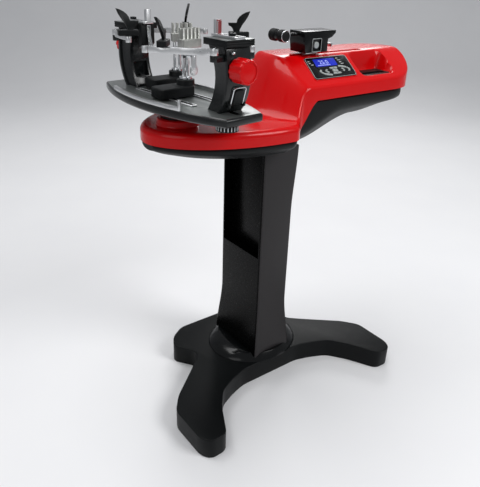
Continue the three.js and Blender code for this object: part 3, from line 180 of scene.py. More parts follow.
def make_materials():
    """The machine's finishes, each named for what it is."""
    # Injection-moulded ABS in deep red under a clear gloss: sharp reflections, faint orange peel
    surface("red_gloss_abs", "#cd0509", "#c00407", cloud_mm=160, grain_mm=9, relief_mm=0.006,
            rough=(0.22, 0.25),
            **{"Specular IOR Level": 0.14, "Coat Weight": 0.22, "Coat Roughness": 0.05})
    # The same plastic in black, as polished as piano lacquer
    surface("black_gloss_abs", "#0c0e0f", "#08090a", cloud_mm=90, grain_mm=8, relief_mm=0.004,
            rough=(0.16, 0.19),
            **{"Specular IOR Level": 0.22, "Coat Weight": 0.1, "Coat Roughness": 0.06})
    # Black ABS from a spark-eroded mould: a fine dull grain, drawn coarser than it is, to show
    surface("black_satin_abs", "#0f1213", "#0b0d0e", cloud_mm=60, grain_mm=1.6, relief_mm=0.03,
            rough=(0.42, 0.52), **{"Specular IOR Level": 0.2})
    # Black powder coat on the cast foot: a soft sheen with a fine pebble
    surface("foot_powder_coat", "#0c0f10", "#08090a", cloud_mm=120, grain_mm=2.2, relief_mm=0.05,
            rough=(0.36, 0.46), **{"Specular IOR Level": 0.14})
    # Warm grey satin paint on the folded steel column: a broad soft sheen
    surface("column_satin_paint", "#2a2829", "#252324", cloud_mm=220, grain_mm=2.6, relief_mm=0.03,
            rough=(0.38, 0.46), **{"Specular IOR Level": 0.22})
    # Black lacquer on the column's front and in its recess, drawn near black as painted shade for the front,
    # which faces away from the lamps, and for the recess: smooth, and dark enough to lose its form
    surface("black_column_lacquer", "#030303", "#020202", cloud_mm=220, grain_mm=5, relief_mm=0.01,
            rough=(0.24, 0.3), **{"Specular IOR Level": 0.08})
    # Black enamel on cast aluminium, as on the turntable and its towers: wet-looking, a little uneven
    surface("black_enamel", "#131617", "#0d0f10", cloud_mm=80, grain_mm=6, relief_mm=0.008,
            rough=(0.22, 0.28),
            **{"Specular IOR Level": 0.35, "Coat Weight": 0.15, "Coat Roughness": 0.1})
    # Machined aluminium, brushed level: fine streaks that spread the highlight
    surface("brushed_aluminium", "#e2e3e4", "#d6d7d8", cloud_mm=60, grain_mm=1.5, relief_mm=0.002,
            rough=(0.27, 0.31), stretch=(0.3, 0.3, 1), Metallic=1.0)
    # Grey painted highlight on the upper faces of the black plate and tower heads: a dark grey satin metal
    # that takes the lamp in one broad patch
    surface("grey_anodised", "#7b7f7e", "#6c706f", cloud_mm=70, grain_mm=1.4, relief_mm=0.004,
            rough=(0.3, 0.36), Metallic=0.7)
    # Polished steel rods, pins and wires: near mirrors, with a slight waviness
    surface("polished_steel", "#dcdee0", "#cfd1d3", cloud_mm=30, grain_mm=6, relief_mm=0.003,
            rough=(0.12, 0.16), Metallic=1.0)
    # Diamond grit on the clamp teeth: bright metal with a sparkle of fine grains
    surface("gritty_clamp_metal", "#c6c7c2", "#a3a49f", cloud_mm=7, grain_mm=0.8, relief_mm=0.03,
            rough=(0.3, 0.42), Metallic=0.85)
    # Moulded rubber on the face of each frame post: deep red and dull
    surface("red_rubber", "#7d0b14", "#6a0810", cloud_mm=14, grain_mm=1.2, relief_mm=0.03,
            rough=(0.5, 0.62))
    # Black-oxide steel screws: a dark oily sheen
    surface("black_oxide_steel", "#26282b", "#1a1b1d", cloud_mm=12, grain_mm=1.5, relief_mm=0.02,
            rough=(0.28, 0.4), Metallic=0.8)
    # Silver paint sprayed on moulded keys: a metal sparkle under a soft bloom
    surface("silver_key_paint", "#b4bab8", "#a3a9a7", cloud_mm=20, grain_mm=1.4, relief_mm=0.03,
            rough=(0.3, 0.4), Metallic=0.35)
    # Glass over a lit blue display: smooth, with a glow of its own
    surface("blue_display_glass", "#2030b8", "#1a29a4", cloud_mm=30, grain_mm=8, relief_mm=0.001,
            rough=(0.08, 0.1), **{"Emission Color": linear("#2233dc"), "Emission Strength": 0.16,
                                  "Specular IOR Level": 0.2})
    # Lit figures of the display: pale blue light, flat
    surface("lit_figures", "#b9c4f2", "#a9b5ea", cloud_mm=10, grain_mm=4, relief_mm=0.001,
            rough=(0.3, 0.36), **{"Emission Color": linear("#aebcf6"), "Emission Strength": 0.25})
    # Screen print, one dull layer of ink, pale on the panel and dark on the keys
    surface("pale_ink", "#cfd3d1", "#bcc1bf", cloud_mm=8, grain_mm=1.5, relief_mm=0.01, rough=(0.45, 0.6))
    surface("dark_ink", "#24282b", "#1a1d20", cloud_mm=8, grain_mm=1.5, relief_mm=0.01, rough=(0.45, 0.6))


# Object tools

def smoothed(mesh, angle):
    """Shades a mesh smooth, with creases where its faces turn more than the angle."""
    mesh.polygons.foreach_set("use_smooth", [True] * len(mesh.polygons))
    mesh.set_sharp_from_angle(angle=math.radians(angle))
    mesh.update()


def finished(thing, body, material, slot, *replaced, angle=38):
    """Puts a finished mesh object into the scene as a piece that rides on a body."""
    if not thing.data.materials:
        thing.data.materials.append(MATERIALS[material])
    smoothed(thing.data, angle)
    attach(thing, body)
    if replaced:
        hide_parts(*replaced)
    return thing


def repaint(thing, material, chosen, place=MACHINE):
    """Gives another material to the faces that a test picks by their middle and normal in a place."""
    thing.data.materials.append(MATERIALS[material])
    back = place.inverted()
    for face in thing.data.polygons:
        if chosen(back @ face.center, (back.to_3x3() @ face.normal).normalized()):
            face.material_index = len(thing.data.materials) - 1


def linked(name, mesh):
    """A new object for a mesh, in the scene."""
    thing = bpy.data.objects.new(name, mesh)
    bpy.context.scene.collection.objects.link(thing)
    return thing


def solid(name, points, faces, place=MACHINE):
    """An object from points in an assembly's millimetres, with every face turned outwards."""
    shape = bmesh.new()
    made = [shape.verts.new(place @ Vector(point)) for point in points]
    for face in faces:
        shape.faces.new([made[index] for index in face])
    bmesh.ops.remove_doubles(shape, verts=shape.verts, dist=MERGED_WITHIN)
    bmesh.ops.recalc_face_normals(shape, faces=shape.faces)
    mesh = bpy.data.meshes.new(name)
    shape.to_mesh(mesh)
    shape.free()
    return linked(name, mesh)


def applied(thing):
    """Turns an object's modifiers into plain mesh."""
    bpy.context.view_layer.update()
    seen = thing.evaluated_get(bpy.context.evaluated_depsgraph_get())
    mesh = bpy.data.meshes.new_from_object(seen)
    mesh.name = thing.name
    thing.modifiers.clear()
    thing.data = mesh


def eased(thing, width, segments):
    """Rounds an object's sharper edges, and keeps its flat faces flat to the eye."""
    sharper_than = math.radians(32)
    bevel = thing.modifiers.new("rounded_edges", "BEVEL")
    bevel.width = width * MM
    bevel.segments = segments
    bevel.limit_method = "ANGLE"
    bevel.angle_limit = sharper_than
    weights = thing.modifiers.new("flat_faces_stay_flat", "WEIGHTED_NORMAL")
    weights.keep_sharp = True
    applied(thing)


def cut(thing, *tools):
    """Takes the tools' shapes out of an object, and removes the tools."""
    for tool in tools:
        bite = thing.modifiers.new("cut", "BOOLEAN")
        bite.operation = "DIFFERENCE"
        bite.solver = "EXACT"
        bite.object = tool
    applied(thing)
    for tool in tools:
        bpy.data.objects.remove(tool)


def refined(node, bevel, material, slot, segments=2):
    """A CAD node's own shape with its flat faces joined and its edges rounded."""
    flat_within = math.radians(1.5)
    source = frame["nodes"][node]
    shape = bmesh.new()
    shape.from_mesh(source.data)
    bmesh.ops.remove_doubles(shape, verts=shape.verts, dist=MERGED_WITHIN)
    bmesh.ops.dissolve_limit(shape, angle_limit=flat_within, verts=shape.verts, edges=shape.edges)
    mesh = bpy.data.meshes.new(node + "_finished")
    shape.to_mesh(mesh)
    shape.free()
    thing = linked(node + "_finished", mesh)
    eased(thing, bevel, segments)
    thing.data.materials.clear()
    return finished(thing, source["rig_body"], material, slot, node)


# Outlines and bodies, in millimetres

def turns_round(count):
    """Equal turns round a circle, in radians."""
    return [2 * math.pi * step / count for step in range(count)]


def rectangle(left, right, near, far):
    """A rectangle's corners in plan, anticlockwise."""
    return [Vector((left, near)), Vector((right, near)), Vector((right, far)), Vector((left, far))]


def rounded(corners, radius, steps, least=0.05):
    """A closed outline whose corners are eased by curves that start at most the radius away.

    A point closer to the last one than the least share of the radius is left out.
    """
    outline = []
    for index, corner in enumerate(corners):
        corner = Vector(corner)
        before = Vector(corners[index - 1]) - corner
        after = Vector(corners[(index + 1) % len(corners)]) - corner
        start = corner + before.normalized() * min(radius, before.length / 2)
        end = corner + after.normalized() * min(radius, after.length / 2)
        for step in range(steps + 1):
            t = step / steps
            point = start * (1 - t) ** 2 + corner * 2 * t * (1 - t) + end * t ** 2
            if not outline or least == 0 or (point - outline[-1]).length > radius * least:
                outline.append(point)
    return outline


def inset(outline, amount):
    """A closed plane outline moved inwards, for outlines that run anticlockwise."""
    moved = []
    for index, point in enumerate(outline):
        along = (outline[(index + 1) % len(outline)] - outline[index - 1]).normalized()
        moved.append(point + Vector((-along.y, along.x)) * amount)
    return moved


def at_level(outline, level):
    """A plane outline's points at a height."""
    return [(point.x, point.y, level) for point in outline]


def loft(rings):
    """Points and faces of a closed body through rings of equally many points."""
    count = len(rings[0])
    faces = [tuple(reversed(range(count)))]
    for ring in range(len(rings) - 1):
        low = ring * count
        faces += [(low + i, low + (i + 1) % count, low + count + (i + 1) % count, low + count + i)
                  for i in range(count)]
    faces.append(tuple(range((len(rings) - 1) * count, len(rings) * count)))
    return [point for ring in rings for point in ring], faces


def slab(outline, low, high, rim=0, steps=3):
    """A plate with its outline in plan and a rounded rim at both faces."""
    rings = []
    for level, side in ((low, 1), (high, -1)):
        turns = [step / steps * math.pi / 2 for step in range(steps + 1)] if rim else [math.pi / 2]
        arc = [(rim * (1 - math.sin(t)), level + side * rim * (1 - math.cos(t))) for t in turns]
        for amount, height in (arc if side > 0 else reversed(arc)):
            rings.append(at_level(inset(outline, amount), height))
    return loft(rings)


def tube(path, radius, sides, closed=False):
    """A round wire along a path of points, for paths that nowhere run along the aside direction."""
    aside = Vector((0, 0.2, 1))
    path = [Vector(point) for point in path]
    rings = []
    last = len(path) - 1
    for index, point in enumerate(path):
        ahead = path[(index + 1) % len(path)] if closed or index < last else point
        behind = path[index - 1] if closed or index else point
        along = (ahead - behind).normalized()
        side = along.cross(aside).normalized()
        up = side.cross(along)
        rings.append([point + (side * math.cos(t) + up * math.sin(t)) * radius for t in turns_round(sides)])
    if not closed:
        return loft(rings)
    points, faces = loft(rings)
    count = len(points) - sides
    faces = faces[1:-1] + [(count + i, count + (i + 1) % sides, (i + 1) % sides, i) for i in range(sides)]
    return points, faces


def turned(profile, sides, lobes=0, depth=0.0, flat=()):
    """A body turned about Z from a profile of radius and height, lobed except at the flat levels."""
    rings = []
    for level, (radius, height) in enumerate(profile):
        ring = []
        for turn in turns_round(sides):
            grown = radius * (1 - (0 if level in flat else depth) * (1 - math.cos(turn * lobes)))
            ring.append((grown * math.cos(turn), grown * math.sin(turn), height))
        rings.append(ring)
    return loft(rings)


def together(shapes):
    """Points and faces of several bodies as one."""
    points, faces = [], []
    for more_points, more_faces in shapes:
        start = len(points)
        points += more_points
        faces += [tuple(start + index for index in face) for face in more_faces]
    return points, faces


# Repeated parts

def copier():
    """A Geometry Nodes group that puts copies of one object on points, each turned its own way."""
    tree = bpy.data.node_groups.new("copies_on_points", "GeometryNodeTree")
    face = tree.interface.new_socket
    face(name="Spots", in_out="INPUT", socket_type="NodeSocketGeometry")
    face(name="Source", in_out="INPUT", socket_type="NodeSocketObject")
    face(name="Finish", in_out="INPUT", socket_type="NodeSocketMaterial")
    face(name="Greatest Turn", in_out="INPUT", socket_type="NodeSocketFloat")
    face(name="Seed", in_out="INPUT", socket_type="NodeSocketInt")
    face(name="Copies", in_out="OUTPUT", socket_type="NodeSocketGeometry")
    given = add(tree, "NodeGroupInput").outputs
    source = add(tree, "GeometryNodeObjectInfo", {"Object": given["Source"]}).outputs["Geometry"]
    facing = add(tree, "GeometryNodeInputNamedAttribute", {"Name": "facing"}, data_type="FLOAT_VECTOR")
    aligned = add(tree, "FunctionNodeAlignRotationToVector", {
        "Vector": facing.outputs["Attribute"],
    }, axis="Z")
    angle = add(tree, "FunctionNodeRandomValue", {
        3: given["Greatest Turn"], "Seed": given["Seed"],
    }, data_type="FLOAT")
    spin = add(tree, "FunctionNodeAxisAngleToRotation", {"Angle": angle.outputs[1]})
    turn = add(tree, "FunctionNodeRotateRotation", {
        "Rotation": aligned.outputs["Rotation"], "Rotate By": spin.outputs["Rotation"],
    }, rotation_space="LOCAL")
    points = add(tree, "GeometryNodeMeshToPoints", {"Mesh": given["Spots"]}).outputs["Points"]
    copies = add(tree, "GeometryNodeInstanceOnPoints", {
        "Points": points, "Instance": source, "Rotation": turn.outputs["Rotation"],
    }).outputs["Instances"]
    real = add(tree, "GeometryNodeRealizeInstances", {"Geometry": copies}).outputs["Geometry"]
    painted = add(tree, "GeometryNodeSetMaterial", {"Geometry": real, "Material": given["Finish"]})
    add(tree, "NodeGroupOutput", {"Copies": painted.outputs["Geometry"]})
    return tree


def repeated(name, shape, spots, material, body, slot, greatest_turn=0.0):
    """One piece of many copies of a shape, at spots of a place, a point and a direction."""
    seed = 7
    source = solid(name + "_source", *shape, Matrix.Scale(MM, 4))
    cloud = bpy.data.meshes.new(name)
    cloud.from_pydata([place @ Vector(point) for place, point, facing in spots], [], [])
    facings = cloud.attributes.new("facing", "FLOAT_VECTOR", "POINT")
    for index, (place, point, facing) in enumerate(spots):
        facings.data[index].vector = (place.to_3x3() @ Vector(facing)).normalized()
    thing = linked(name, cloud)
    modifier = thing.modifiers.new("copies", "NODES")
    modifier.node_group = COPIER
    sockets = {item.name: item.identifier for item in COPIER.interface.items_tree}
    modifier[sockets["Source"]] = source
    modifier[sockets["Finish"]] = MATERIALS[material]
    modifier[sockets["Greatest Turn"]] = greatest_turn
    modifier[sockets["Seed"]] = seed
    applied(thing)
    bpy.data.objects.remove(source)
    finished(thing, body, material, slot)


# Housing: the red cover and the black lower housing share one plan

NOSE_X, WIDEST_X, NECK_X, REAR_ROUND_X, REAR_X = -354, -20, 64, 425, 549.8
DECK_HALF, BODY_HALF = 187, 120
NOSE_POWER, REAR_POWER = 1.9, 2.3
DECK_SEAM, BODY_SEAM = 804, 880
DECK_TOP, CREASE_Z = 842, 916
SEAM_RISE = (42, 116)
SLOPE_SHARE, TOP_SOFTNESS = 0.62, 5
SLOPE_END_Y = -10.3
TOP_Z = CREASE_Z + SLOPE_SHARE * (BODY_HALF + SLOPE_END_Y)
RISER_FOOT, RISER_TOP = (-50, 68), (70, 22)
RISER_SPAN = 150
DECK_RIM, CREASE_RADIUS, FAR_RADIUS = 15, 6, 26
FAR_ROUNDING_Y = (-60, 100)
COVER_STEP, BELLY_STEP = 2.6, 6
NOSE_STATIONS, REAR_STATIONS, ACROSS = 48, 34, 170

TRAY_X, TRAY_Y, TRAY_SKEW = (312, 458), (-107, -14), 14
TRAY_FLOOR, TRAY_CORNER, TRAY_WALL = 924, 26, 11
HAND_LENGTH, HAND_WIDTH, HAND_DEPTH = 104, 24, 36
HAND_X, HAND_Y = sum(TRAY_X) / 2 - TRAY_SKEW, -72
MAT_INSET, MAT_LEVELS, MAT_RIM = 13, (TRAY_FLOOR - 0.4, TRAY_FLOOR + 1.4), 0.6
SLOT_X, SLOT_WIDTH, SLOT_DEPTH, SLOT_CORNER = (104, 388), 13, 46, 1.2


def ease(value, low, high):
    """A smooth step from 0 to 1, also for arrays."""
    share = np.clip((value - low) / (high - low), 0, 1)
    return share * share * (3 - 2 * share)


def mix(low, high, share):
    """A value between two others."""
    return low + (high - low) * share


def plan_half(x):
    """Half the housing's width at a place along it."""
    if x < WIDEST_X:
        share = min((WIDEST_X - x) / (WIDEST_X - NOSE_X), 1)
        return DECK_HALF * (1 - share ** NOSE_POWER) ** (1 / NOSE_POWER)
    if x < REAR_ROUND_X:
        return mix(DECK_HALF, BODY_HALF, ease(x, WIDEST_X, NECK_X))
    share = min((x - REAR_ROUND_X) / (REAR_X - REAR_ROUND_X), 1)
    return BODY_HALF * (1 - share ** REAR_POWER) ** (1 / REAR_POWER)


def edge_distance(x, y):
    """About how far a place in plan lies inside the housing's outline."""
    if WIDEST_X <= x < REAR_ROUND_X:
        return plan_half(x) - np.abs(y)
    nose = x < WIDEST_X
    middle, reach = (WIDEST_X, WIDEST_X - NOSE_X) if nose else (REAR_ROUND_X, REAR_X - REAR_ROUND_X)
    half, power = (DECK_HALF, NOSE_POWER) if nose else (BODY_HALF, REAR_POWER)
    share = (abs((x - middle) / reach) ** power + np.abs(y / half) ** power) ** (1 / power)
    return np.hypot(x - middle, y) * (1 / np.maximum(share, 0.001) - 1)


def riser_share(x, y):
    """How far the cover has risen from the deck to the body, with the riser swept back at its sides."""
    sweep = (y / RISER_SPAN) ** 2
    return ease(x, RISER_FOOT[0] + RISER_FOOT[1] * sweep, RISER_TOP[0] + RISER_TOP[1] * sweep)


def body_top(y):
    """The body's height across it: a slope on the operator's side that bends softly into a flat."""
    knee = (TOP_Z - CREASE_Z - SLOPE_SHARE * (y + BODY_HALF)) / TOP_SOFTNESS
    return TOP_Z - TOP_SOFTNESS * np.log1p(np.exp(knee))


def tray_outline():
    """The tray's outline in plan, skewed as its near corners are."""
    near, far = TRAY_Y
    left, right = TRAY_X
    corners = [(left - TRAY_SKEW, near), (right - TRAY_SKEW, near), (right, far), (left, far)]
    return rounded(corners, TRAY_CORNER, 8)


def tray_depth(x, y):
    """How far inside the tray's outline each place lies, along one line across the cover."""
    outline = tray_outline()
    nearest = np.full(y.shape, 1e9)
    inside = np.zeros(y.shape, bool)
    for a, b in zip(outline, outline[1:] + outline[:1]):
        side = b - a
        if side.length < 0.001:
            continue
        along = np.clip(((x - a.x) * side.x + (y - a.y) * side.y) / side.length_squared, 0, 1)
        nearest = np.minimum(nearest, np.hypot(x - a.x - along * side.x, y - a.y - along * side.y))
        crossing = ((a.y > y) != (b.y > y)) & (x < (b.x - a.x) * (y - a.y) / (b.y - a.y + 1e-12) + a.x)
        inside ^= crossing
    return np.where(inside, nearest, 0)


def cover_top(x, y):
    """The cover's upper surface along one line across it."""
    share = riser_share(x, y)
    top = mix(DECK_TOP, body_top(y), share)
    radius = mix(DECK_RIM, mix(CREASE_RADIUS, FAR_RADIUS, ease(y, *FAR_ROUNDING_Y)), share)
    near_edge = np.minimum(edge_distance(x, y), radius)
    top = top - radius + np.sqrt(np.maximum(radius ** 2 - (radius - near_edge) ** 2, 0))
    if TRAY_X[0] - TRAY_SKEW <= x <= TRAY_X[1]:
        top = mix(top, np.minimum(top, TRAY_FLOOR), ease(tray_depth(x, y), 0, TRAY_WALL))
    return top


def housing_stations(step):
    """Places along the housing, closer together where its plan curves and at the tray.

    They stop short of both tips, by small turns, so that the end faces have a width.
    """
    nose_turns = np.linspace(0.03, math.pi / 2, NOSE_STATIONS)
    rear_turns = np.linspace(0, math.pi / 2 - 0.04, REAR_STATIONS)
    nose = [WIDEST_X - (WIDEST_X - NOSE_X) * math.cos(turn) for turn in nose_turns]
    rear = [REAR_ROUND_X + (REAR_X - REAR_ROUND_X) * math.sin(turn) for turn in rear_turns]
    tray = TRAY_X[0] - TRAY_SKEW - step, TRAY_X[1] + step
    body, x = [], WIDEST_X + step
    while x < REAR_ROUND_X:
        body.append(x)
        x += step / 2 if tray[0] < x < tray[1] else step
    return nose + body + rear


def seam(x):
    """The height of the seam between the cover and the lower housing."""
    return mix(DECK_SEAM, BODY_SEAM, ease(x, *SEAM_RISE))


def slope_place(x, y):
    """The place of something that lies on the sloped top, with Z out of the slope."""
    height = float(body_top(np.array(y)))
    turn = Matrix.Rotation(math.atan(SLOPE_SHARE), 4, "X")
    return MACHINE @ Matrix.Translation((x, y, height)) @ turn


CONSOLE = slope_place(206, -62)
CONSOLE_LENGTH, CONSOLE_WIDTH, CONSOLE_SKEW = 162, 84, 14
CONSOLE_CORNER, CONSOLE_SEAT_DEPTH = 9, 2.6


def console_outline(grow):
    """The console panel's skewed outline, made larger or smaller all round."""
    a, b, s = CONSOLE_LENGTH / 2 + grow, CONSOLE_WIDTH / 2 + grow, CONSOLE_SKEW / 2
    return rounded([(-a - s, -b), (a - s, -b), (a + s, b), (-a + s, b)], CONSOLE_CORNER, 6)


def hand_slot_tool(name, low, high):
    """The hand slot's shape between two heights, to cut with."""
    a, b = HAND_LENGTH / 2, HAND_WIDTH / 2
    outline = rounded(rectangle(HAND_X - a, HAND_X + a, HAND_Y - b, HAND_Y + b), b, 8)
    return solid(name, *slab(outline, low, high))


def top_cover():
    """The moulded cover: deck, riser, sloped console side, flat top, tray and slots."""
    rings = []
    for x in housing_stations(COVER_STEP):
        half = plan_half(x)
        y = half * np.sin(np.linspace(-math.pi / 2, math.pi / 2, ACROSS))
        crown = [(x, float(a), float(b)) for a, b in zip(y, cover_top(x, y))]
        rings.append([(x, -half, seam(x)), *crown, (x, half, seam(x))])
    cover = solid("moulded_cover", *loft(rings))
    slot = rounded(rectangle(*SLOT_X, -SLOT_WIDTH / 2, SLOT_WIDTH / 2), SLOT_CORNER, 3)
    seat = slab(console_outline(SEAT_GAP), -CONSOLE_SEAT_DEPTH, CUT_OVERRUN)
    cut(cover, solid("slot_tool", *slab(slot, TOP_Z - SLOT_DEPTH, TOP_Z + CUT_OVERRUN)),
        solid("seat_tool", *seat, CONSOLE),
        hand_slot_tool("hand_tool", TRAY_FLOOR - HAND_DEPTH, TRAY_FLOOR + CUT_OVERRUN))
    finished(cover, "stand", "red_gloss_abs", "red_gloss", "top_cover")
    # The hand slot's walls below the tray floor take black painted shade, though they are cut in the red
    # moulding.
    a, b = HAND_LENGTH / 1.9, HAND_WIDTH / 1.9
    repaint(cover, "black_satin_abs", lambda middle, normal: middle.z < TRAY_FLOOR - 1
            and abs(middle.x - HAND_X) < a and abs(middle.y - HAND_Y) < b)


def tray_mat():
    """A dull dark mat on the tray's floor, round the hand slot."""
    mat = solid("tray_mat", *slab(inset(tray_outline(), MAT_INSET), *MAT_LEVELS, MAT_RIM))
    cut(mat, hand_slot_tool("mat_tool", TRAY_FLOOR - 5, TRAY_FLOOR + 5))
    finished(mat, "stand", "black_satin_abs", "black_satin")


BELLY_INSET, BELLY_LEAST = 8, 8
DECK_CREASE_DROP, BODY_CREASE_DROP = 20, 34
DECK_KEEL, BODY_KEEL_DROP = 756, 68
BELLY_NECK_X, KEEL_INSET, BELLY_ROUNDING = 80, 46, 14
# Pockets on the far side: their two ends along the housing, their depth and their two levels
POCKETS = {"inlet": (304.7, 355.3, 20.3, 844.2, 871.8), "switch": (366.5, 389.5, 11, 850, 866)}


def belly_ring(x):
    """One section of the lower housing, with its crease and keel rounded."""
    inner = max(x, NOSE_X + BELLY_INSET) if x < WIDEST_X else x - (BELLY_INSET if x > REAR_ROUND_X else 0)
    half = max(plan_half(x) - BELLY_INSET, BELLY_LEAST)
    share = half / DECK_HALF if inner < WIDEST_X else 1
    top = seam(inner) - SEAT_GAP
    rise = ease(inner, SEAM_RISE[0], SEAM_RISE[1] + BODY_HALF)
    crease = mix(DECK_SEAM - DECK_CREASE_DROP, BODY_SEAM - BODY_CREASE_DROP, rise)
    crease = min(mix(top - BELLY_LEAST, crease, share), top - BELLY_LEAST)
    neck = ease(inner, BELLY_NECK_X, REAR_ROUND_X - BODY_HALF)
    rear = ease(inner, REAR_ROUND_X - BODY_HALF, REAR_X)
    keel = mix(mix(DECK_KEEL, BODY_SEAM - BODY_KEEL_DROP, neck), BODY_SEAM - BODY_CREASE_DROP, rear)
    keel = min(mix(crease, keel, share), crease - BELLY_LEAST)
    floor = max(half - KEEL_INSET, half / 2)
    near = [(-half, top), (-half, crease), (-floor, keel)]
    section = near + [(-y, z) for y, z in reversed(near)]
    return [(inner, p.x, p.y) for p in rounded(section, BELLY_ROUNDING, 4, 0)]


def lower_housing():
    """The black underside that hangs below the seam, with the inlet's and switch's pockets."""
    side = BODY_HALF - BELLY_INSET
    belly = solid("lower_housing_shell", *loft([belly_ring(x) for x in housing_stations(BELLY_STEP)]))
    tools = []
    for name, (left, right, depth, low, high) in POCKETS.items():
        outline = rounded(rectangle(left, right, side - depth, side + CUT_OVERRUN), 1, 1)
        tools.append(solid(name + "_pocket_tool", *slab(outline, low, high)))
    cut(belly, *tools)
    finished(belly, "stand", "black_satin_abs", "black_satin", "lower_housing", angle=62)


# Console: panel, display figures, printed marks and keys

KEYPAD_X, KEYPAD_Y = 4, -17
KEY_REACH, KEY_RISE = 34, 10.5
DISPLAY_X, DISPLAY_Y = -8, 19
PANEL_FACE = 2.7
KEY_FACE = PANEL_FACE + 2.2
PRINT_THICKNESS = 0.12


def console():
    """The console with everything on it."""
    refined("console_panel", 0.7, "black_gloss_abs", "black_gloss")
    refined("display_window", 0.3, "blue_display_glass", "lcd_blue")
    for key in ("start", "up", "left", "down", "right", "minus", "plus"):
        refined("key_" + key, 0.6, "silver_key_paint", "key_silver", 3)
    console_bead()
    display_figures()
    key_marks()
    panel_marks()


def console_bead():
    """The raised lip of the cover round the console panel, and a thin line of silver paint along the panel's
    edge as a painted highlight.
    """
    lip = tube(at_level(console_outline(1.9), 0.2), 1.7, 12, True)
    finished(solid("console_lip", *lip, CONSOLE), "stand", "red_gloss_abs", "red_gloss")
    # A thin silver line along the panel's edge, drawn as a painted highlight.
    highlight_line = tube(at_level(console_outline(-1.4), PANEL_FACE - 0.1), 0.7, 8, True)
    finished(solid("console_border", *highlight_line, CONSOLE), "stand", "silver_key_paint", "key_silver")


def printed(name, outlines, level, body, material, slot):
    """Flat marks on the console as one piece."""
    shapes = [slab(outline, level, level + PRINT_THICKNESS) for outline in outlines]
    finished(solid(name, *together(shapes), CONSOLE), body, material, slot)


def display_figures():
    """Plain lit figures and a bar scale on the display."""
    letters = bpy.data.curves.new("display_figures", "FONT")
    letters.body = "25.0"
    letters.size = 21
    letters.align_x = "CENTER"
    letters.extrude = 0.05
    letters.resolution_u = 3
    text = linked("display_figures", letters)
    bpy.context.view_layer.update()
    mesh = bpy.data.meshes.new_from_object(text.evaluated_get(bpy.context.evaluated_depsgraph_get()))
    bpy.data.objects.remove(text)
    mesh.transform(CONSOLE @ Matrix.Translation((DISPLAY_X - 6, DISPLAY_Y - 6, PANEL_FACE + PRINT_THICKNESS)))
    finished(linked("display_figures", mesh), "stand", "lit_figures", "lcd_blue")
    left, low = DISPLAY_X - 34, DISPLAY_Y - 12
    pitch, bar_width, bar_height = 4, 2.4, 3
    starts = [left + step * pitch for step in range(12)]
    bars = [rectangle(start, start + bar_width, low, low + bar_height) for start in starts]
    printed("display_scale", bars, PANEL_FACE, "stand", "lit_figures", "lcd_blue")


def symbol(kind, x, y, size=4.2):
    """A plain arrow, bar or cross for a key, as a list of convex outlines."""
    arrows = {"right": 0, "up": 90, "left": 180, "down": 270}
    half, thin = size / 2, size / 7
    if kind in arrows:
        turn = Matrix.Rotation(math.radians(arrows[kind]), 2)
        shapes = [[turn @ Vector(p) for p in ((-half, -half), (half, 0), (-half, half))]]
    else:
        shapes = [rectangle(-half, half, -thin, thin)]
    if kind == "plus":
        shapes.append(rectangle(-thin, thin, -half, half))
    return [[Vector((x, y)) + point for point in shape] for shape in shapes]


def key_marks():
    """Plain arrows and signs printed on the keys."""
    spots = {
        "up": (0, KEY_RISE), "down": (0, -KEY_RISE), "left": (-KEY_REACH, 0), "right": (KEY_REACH, 0),
        "minus": (-50, -8), "plus": (51, 8), "start": (0, 0),
    }
    for name, (x, y) in spots.items():
        outlines = symbol(name, KEYPAD_X + x, KEYPAD_Y + y)
        printed("mark_" + name, outlines, KEY_FACE, "key_" + name, "dark_ink", "key_silver")


def panel_marks():
    """Small printed lines beside the display, each with its left end, its height and its length."""
    thick = 2
    rows = [(-70, 26, 7), (-70, 19, 7), (-66, 12, 9), (40, 30, 10), (42, 22, 12), (44, 14, 9), (46, 7, 11)]
    lines = [rectangle(left, left + length, low, low + thick) for left, low, length in rows]
    printed("panel_print", lines, PANEL_FACE, "stand", "pale_ink", "key_silver")


# Stand: foot, collar and column

FOOT_HEIGHT, FOOT_RIM, FOOT_CORNER = 65, 3, 18
FOOT_HALF, FOOT_REACH, FOOT_BACK = 378, 314, 190
FOOT_NEAR_SHARES = [
    (0.29, -0.39), (0.43, -0.44), (0.575, -0.52), (0.69, -0.7), (0.815, -0.985), (0.95, -0.995),
    (1, -0.9), (1, -0.5), (0.9, -0.34), (0.62, -0.06), (0.5, 0.07), (0.5, 0.16),
]
FOOT_BACK_SHARES = [(0.61, 0.56), (0.54, 0.8), (0.41, 0.97)]


def foot():
    """The cast foot with its four legs and a rounded upper rim, and the collar on it."""
    right = [(x * FOOT_HALF, y * FOOT_REACH) for x, y in FOOT_NEAR_SHARES]
    right += [(x * FOOT_HALF, y * FOOT_BACK) for x, y in FOOT_BACK_SHARES]
    corners = right + [(-x, y) for x, y in reversed(right)]
    body = solid("cast_foot", *slab(rounded(corners, FOOT_CORNER, 6), 0, FOOT_HEIGHT, FOOT_RIM, 4))
    finished(body, "stand", "foot_powder_coat", "foot_grey", "foot_plate")
    refined("foot_collar", 2.5, "black_gloss_abs", "black_satin", 3)


COLUMN_X, COLUMN_HALF, COLUMN_WIDE, COLUMN_CORNER = 11, 57, 97, 8
COLUMN_LEVELS = (65.3, 755.7)
COLUMN_FLARE, FOOT_SPREAD, HEAD_SPREAD = 200, 13, 12
RECESS_WIDE, RECESS_DEPTH, RECESS_FOOT = 88, 34, 424


def column_ring(z):
    """One section of the column, wider at its foot and deeper at its head."""
    low, high = COLUMN_LEVELS
    spread = FOOT_SPREAD * (1 - ease(z, low, low + COLUMN_FLARE))
    wide = COLUMN_WIDE + spread
    front = COLUMN_X - COLUMN_HALF - spread
    back = COLUMN_X + COLUMN_HALF + spread + HEAD_SPREAD * ease(z, high - COLUMN_FLARE, high)
    return at_level(rounded(rectangle(front, back, -wide, wide), COLUMN_CORNER, 4, 0), float(z))


